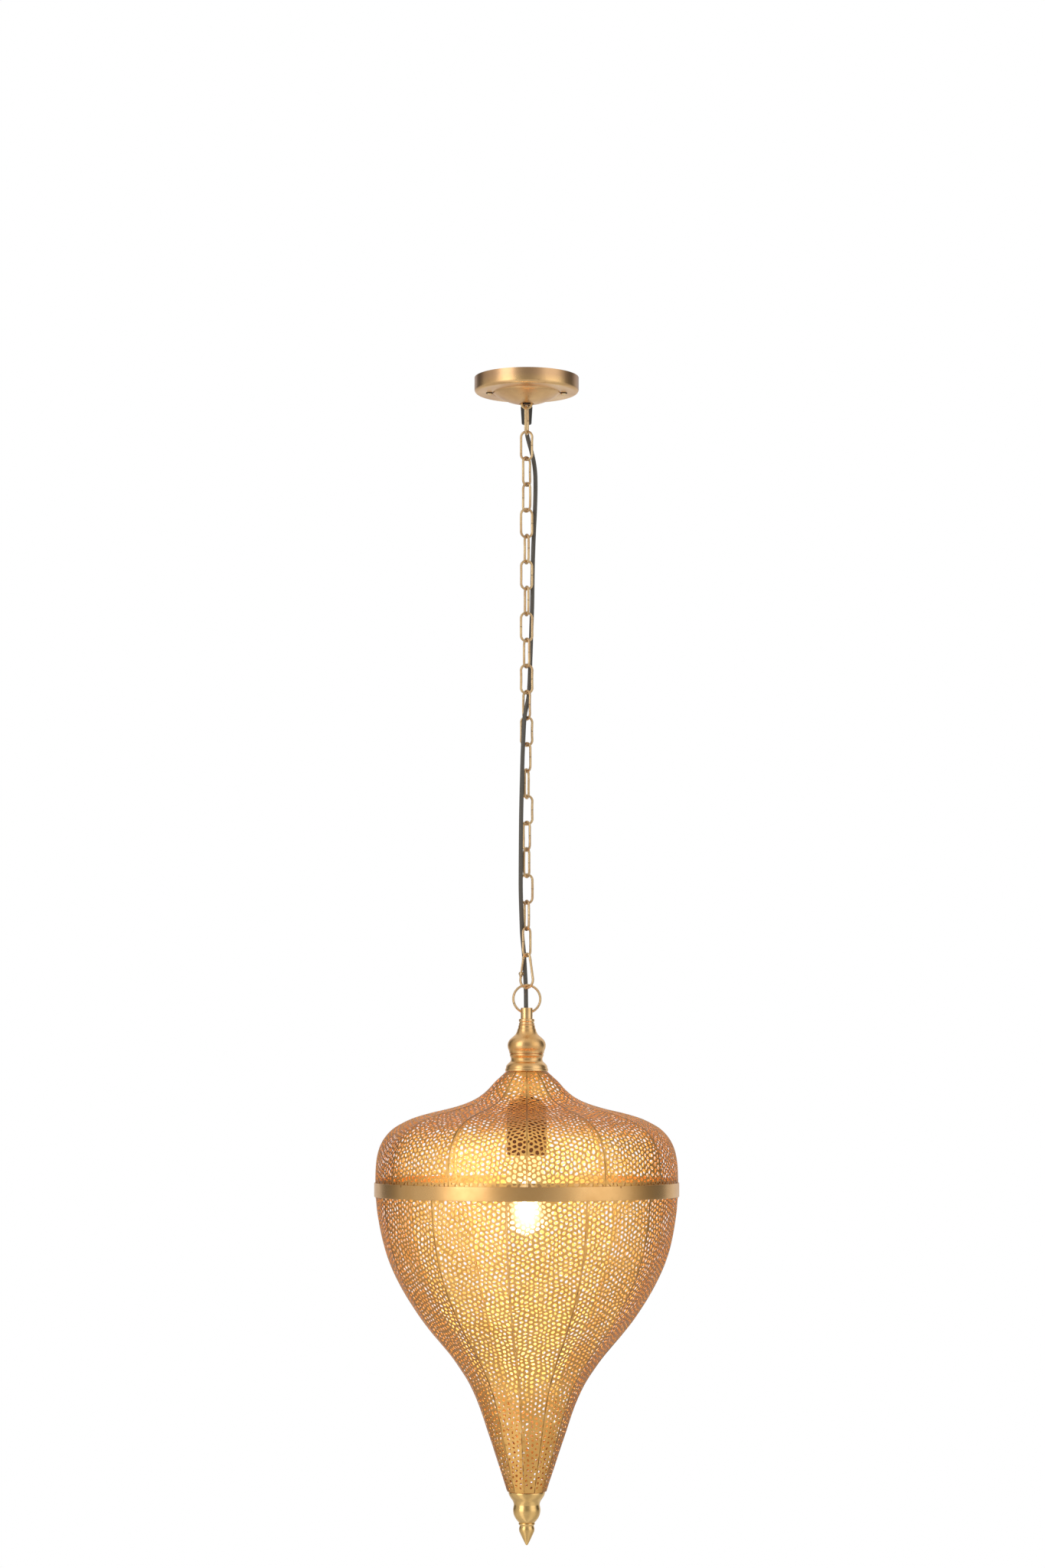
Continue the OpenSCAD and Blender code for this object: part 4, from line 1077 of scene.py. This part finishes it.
cuts = [-38.0, -69.9] + [-69.9 - PITCH * j for j in range(1, 24)]
cuts[21:24] = [-678.9, -706.4, -734.0]      # so that the last piece bends above the mouth of the neck tube
for s in range(24):
    z0, z1 = cuts[s], cuts[s + 1]
    zs = np.linspace(z0, z1, 26)
    P = np.array([at_z(z) for z in zs])
    o = tube("flex_%02d" % (s + 1), P, CORD_D / 2, M["flex"], 20, cap=True)
    if s == 0:
        w0, w1 = -52.9, -68.3
    elif s == 23:
        w0, w1 = z0 - 0.3, -741.0
    else:
        w0, w1 = z0 - 0.5, z0 - 13.5
    pa, pb = at_z(w0) * MM, at_z(w1) * MM
    pa = np.array([pa[0], pa[1], w0 * MM])
    pb = np.array([pa[0], pa[1], w1 * MM])
    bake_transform(o)
    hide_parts("hanging_cord")

# ------------------------------------------------------------------ stage, light, camera
scene = bpy.context.scene
scene.view_settings.view_transform = "Standard"
scene.view_settings.look = "None"
scene.view_settings.exposure = 0
scene.view_settings.gamma = 1

w = bpy.data.worlds.new("studio")
scene.world = w
w.use_nodes = True
nt = w.node_tree
nt.nodes.clear()
out = nt.nodes.new("ShaderNodeOutputWorld")
tc = nt.nodes.new("ShaderNodeTexCoord")
sep = nt.nodes.new("ShaderNodeSeparateXYZ")
nt.links.new(tc.outputs["Generated"], sep.inputs[0])


def wm(op, a, b=None):
    n = nt.nodes.new("ShaderNodeMath")
    n.operation = op
    for i_, v_ in enumerate((a, b)):
        if v_ is None:
            continue
        if isinstance(v_, (int, float)):
            n.inputs[i_].default_value = v_
        else:
            nt.links.new(v_, n.inputs[i_])
    return n.outputs[0]


neg_y = wm("MULTIPLY", sep.outputs["Y"], -1.0)
az = wm("ARCTAN2", sep.outputs["X"], neg_y)          # 0 towards the camera, + to the right
fac = wm("ADD", wm("DIVIDE", az, TAU), 0.5)


def A(deg):
    return (deg + 180) / 360.0


g = lambda x: (x, x, x)
walls = ramp(nt, [(A(-180), g(0.8)), (A(-146), g(0.7)), (A(-138), g(0.10)), (A(-118), g(0.10)), (A(-110), g(0.45)), (A(-66), g(0.60)), (A(-60), g(2.1)), (A(-34), g(2.1)), (A(-26), g(0.5)),
                  (A(-4), g(0.28)), (A(10), g(0.30)), (A(30), g(0.55)), (A(42), g(1.15)), (A(68), g(1.15)), (A(84), g(0.6)), (A(98), g(0.12)), (A(124), g(0.10)), (A(134), g(0.7)), (A(180), g(0.8))])
nt.links.new(fac, walls.inputs[0])
el = ramp(nt, [(0.0, g(0.75)), (0.35, g(0.75)), (0.5, g(0.0)), (0.72, g(0.0)), (0.9, g(0.8)), (1.0, g(1.0))])
nt.links.new(wm("ADD", wm("MULTIPLY", sep.outputs["Z"], 0.5), 0.5), el.inputs[0])
elc = ramp(nt, [(0.0, g(0.60)), (0.45, g(0.62)), (0.55, g(0.7)), (1.0, g(0.72))])
nt.links.new(wm("ADD", wm("MULTIPLY", sep.outputs["Z"], 0.5), 0.5), elc.inputs[0])
mx = nt.nodes.new("ShaderNodeMix")
mx.data_type = "RGBA"
nt.links.new(el.outputs[0], mx.inputs[0])
nt.links.new(walls.outputs[0], mx.inputs[6])
nt.links.new(elc.outputs[0], mx.inputs[7])
bg = nt.nodes.new("ShaderNodeBackground")
nt.links.new(mx.outputs[2], bg.inputs["Color"])
bg.inputs["Strength"].default_value = 1.0
white = nt.nodes.new("ShaderNodeBackground")
white.inputs["Color"].default_value = (1, 1, 1, 1)
white.inputs["Strength"].default_value = 1.0
lp = nt.nodes.new("ShaderNodeLightPath")
ms = nt.nodes.new("ShaderNodeMixShader")
nt.links.new(lp.outputs["Is Camera Ray"], ms.inputs[0])
nt.links.new(bg.outputs[0], ms.inputs[1])
nt.links.new(white.outputs[0], ms.inputs[2])
nt.links.new(ms.outputs[0], out.inputs["Surface"])

L = bpy.data.lights.new("bulb_light", "POINT")
L.energy = 1.7
L.color = (1.0, 0.86, 0.60)
L.shadow_soft_size = 0.072
lo = bpy.data.objects.new("bulb_light", L)
lo.location = (0, 0, -1.012)
scene.collection.objects.link(lo)

cam_d = bpy.data.cameras.new("camera")
cam = bpy.data.objects.new("camera", cam_d)
scene.collection.objects.link(cam)
scene.camera = cam
cam_d.sensor_fit = "VERTICAL"
cam_d.sensor_height = 36
cam_d.lens = 77.3
cam_d.clip_end = 50
axis_px = 688.0
cam.location = (-(axis_px - 682.5) * 0.88 * MM, -3.896, -0.8265)
pitch_up = 5.1
cam.rotation_euler = (math.radians(90 + pitch_up), 0, 0)
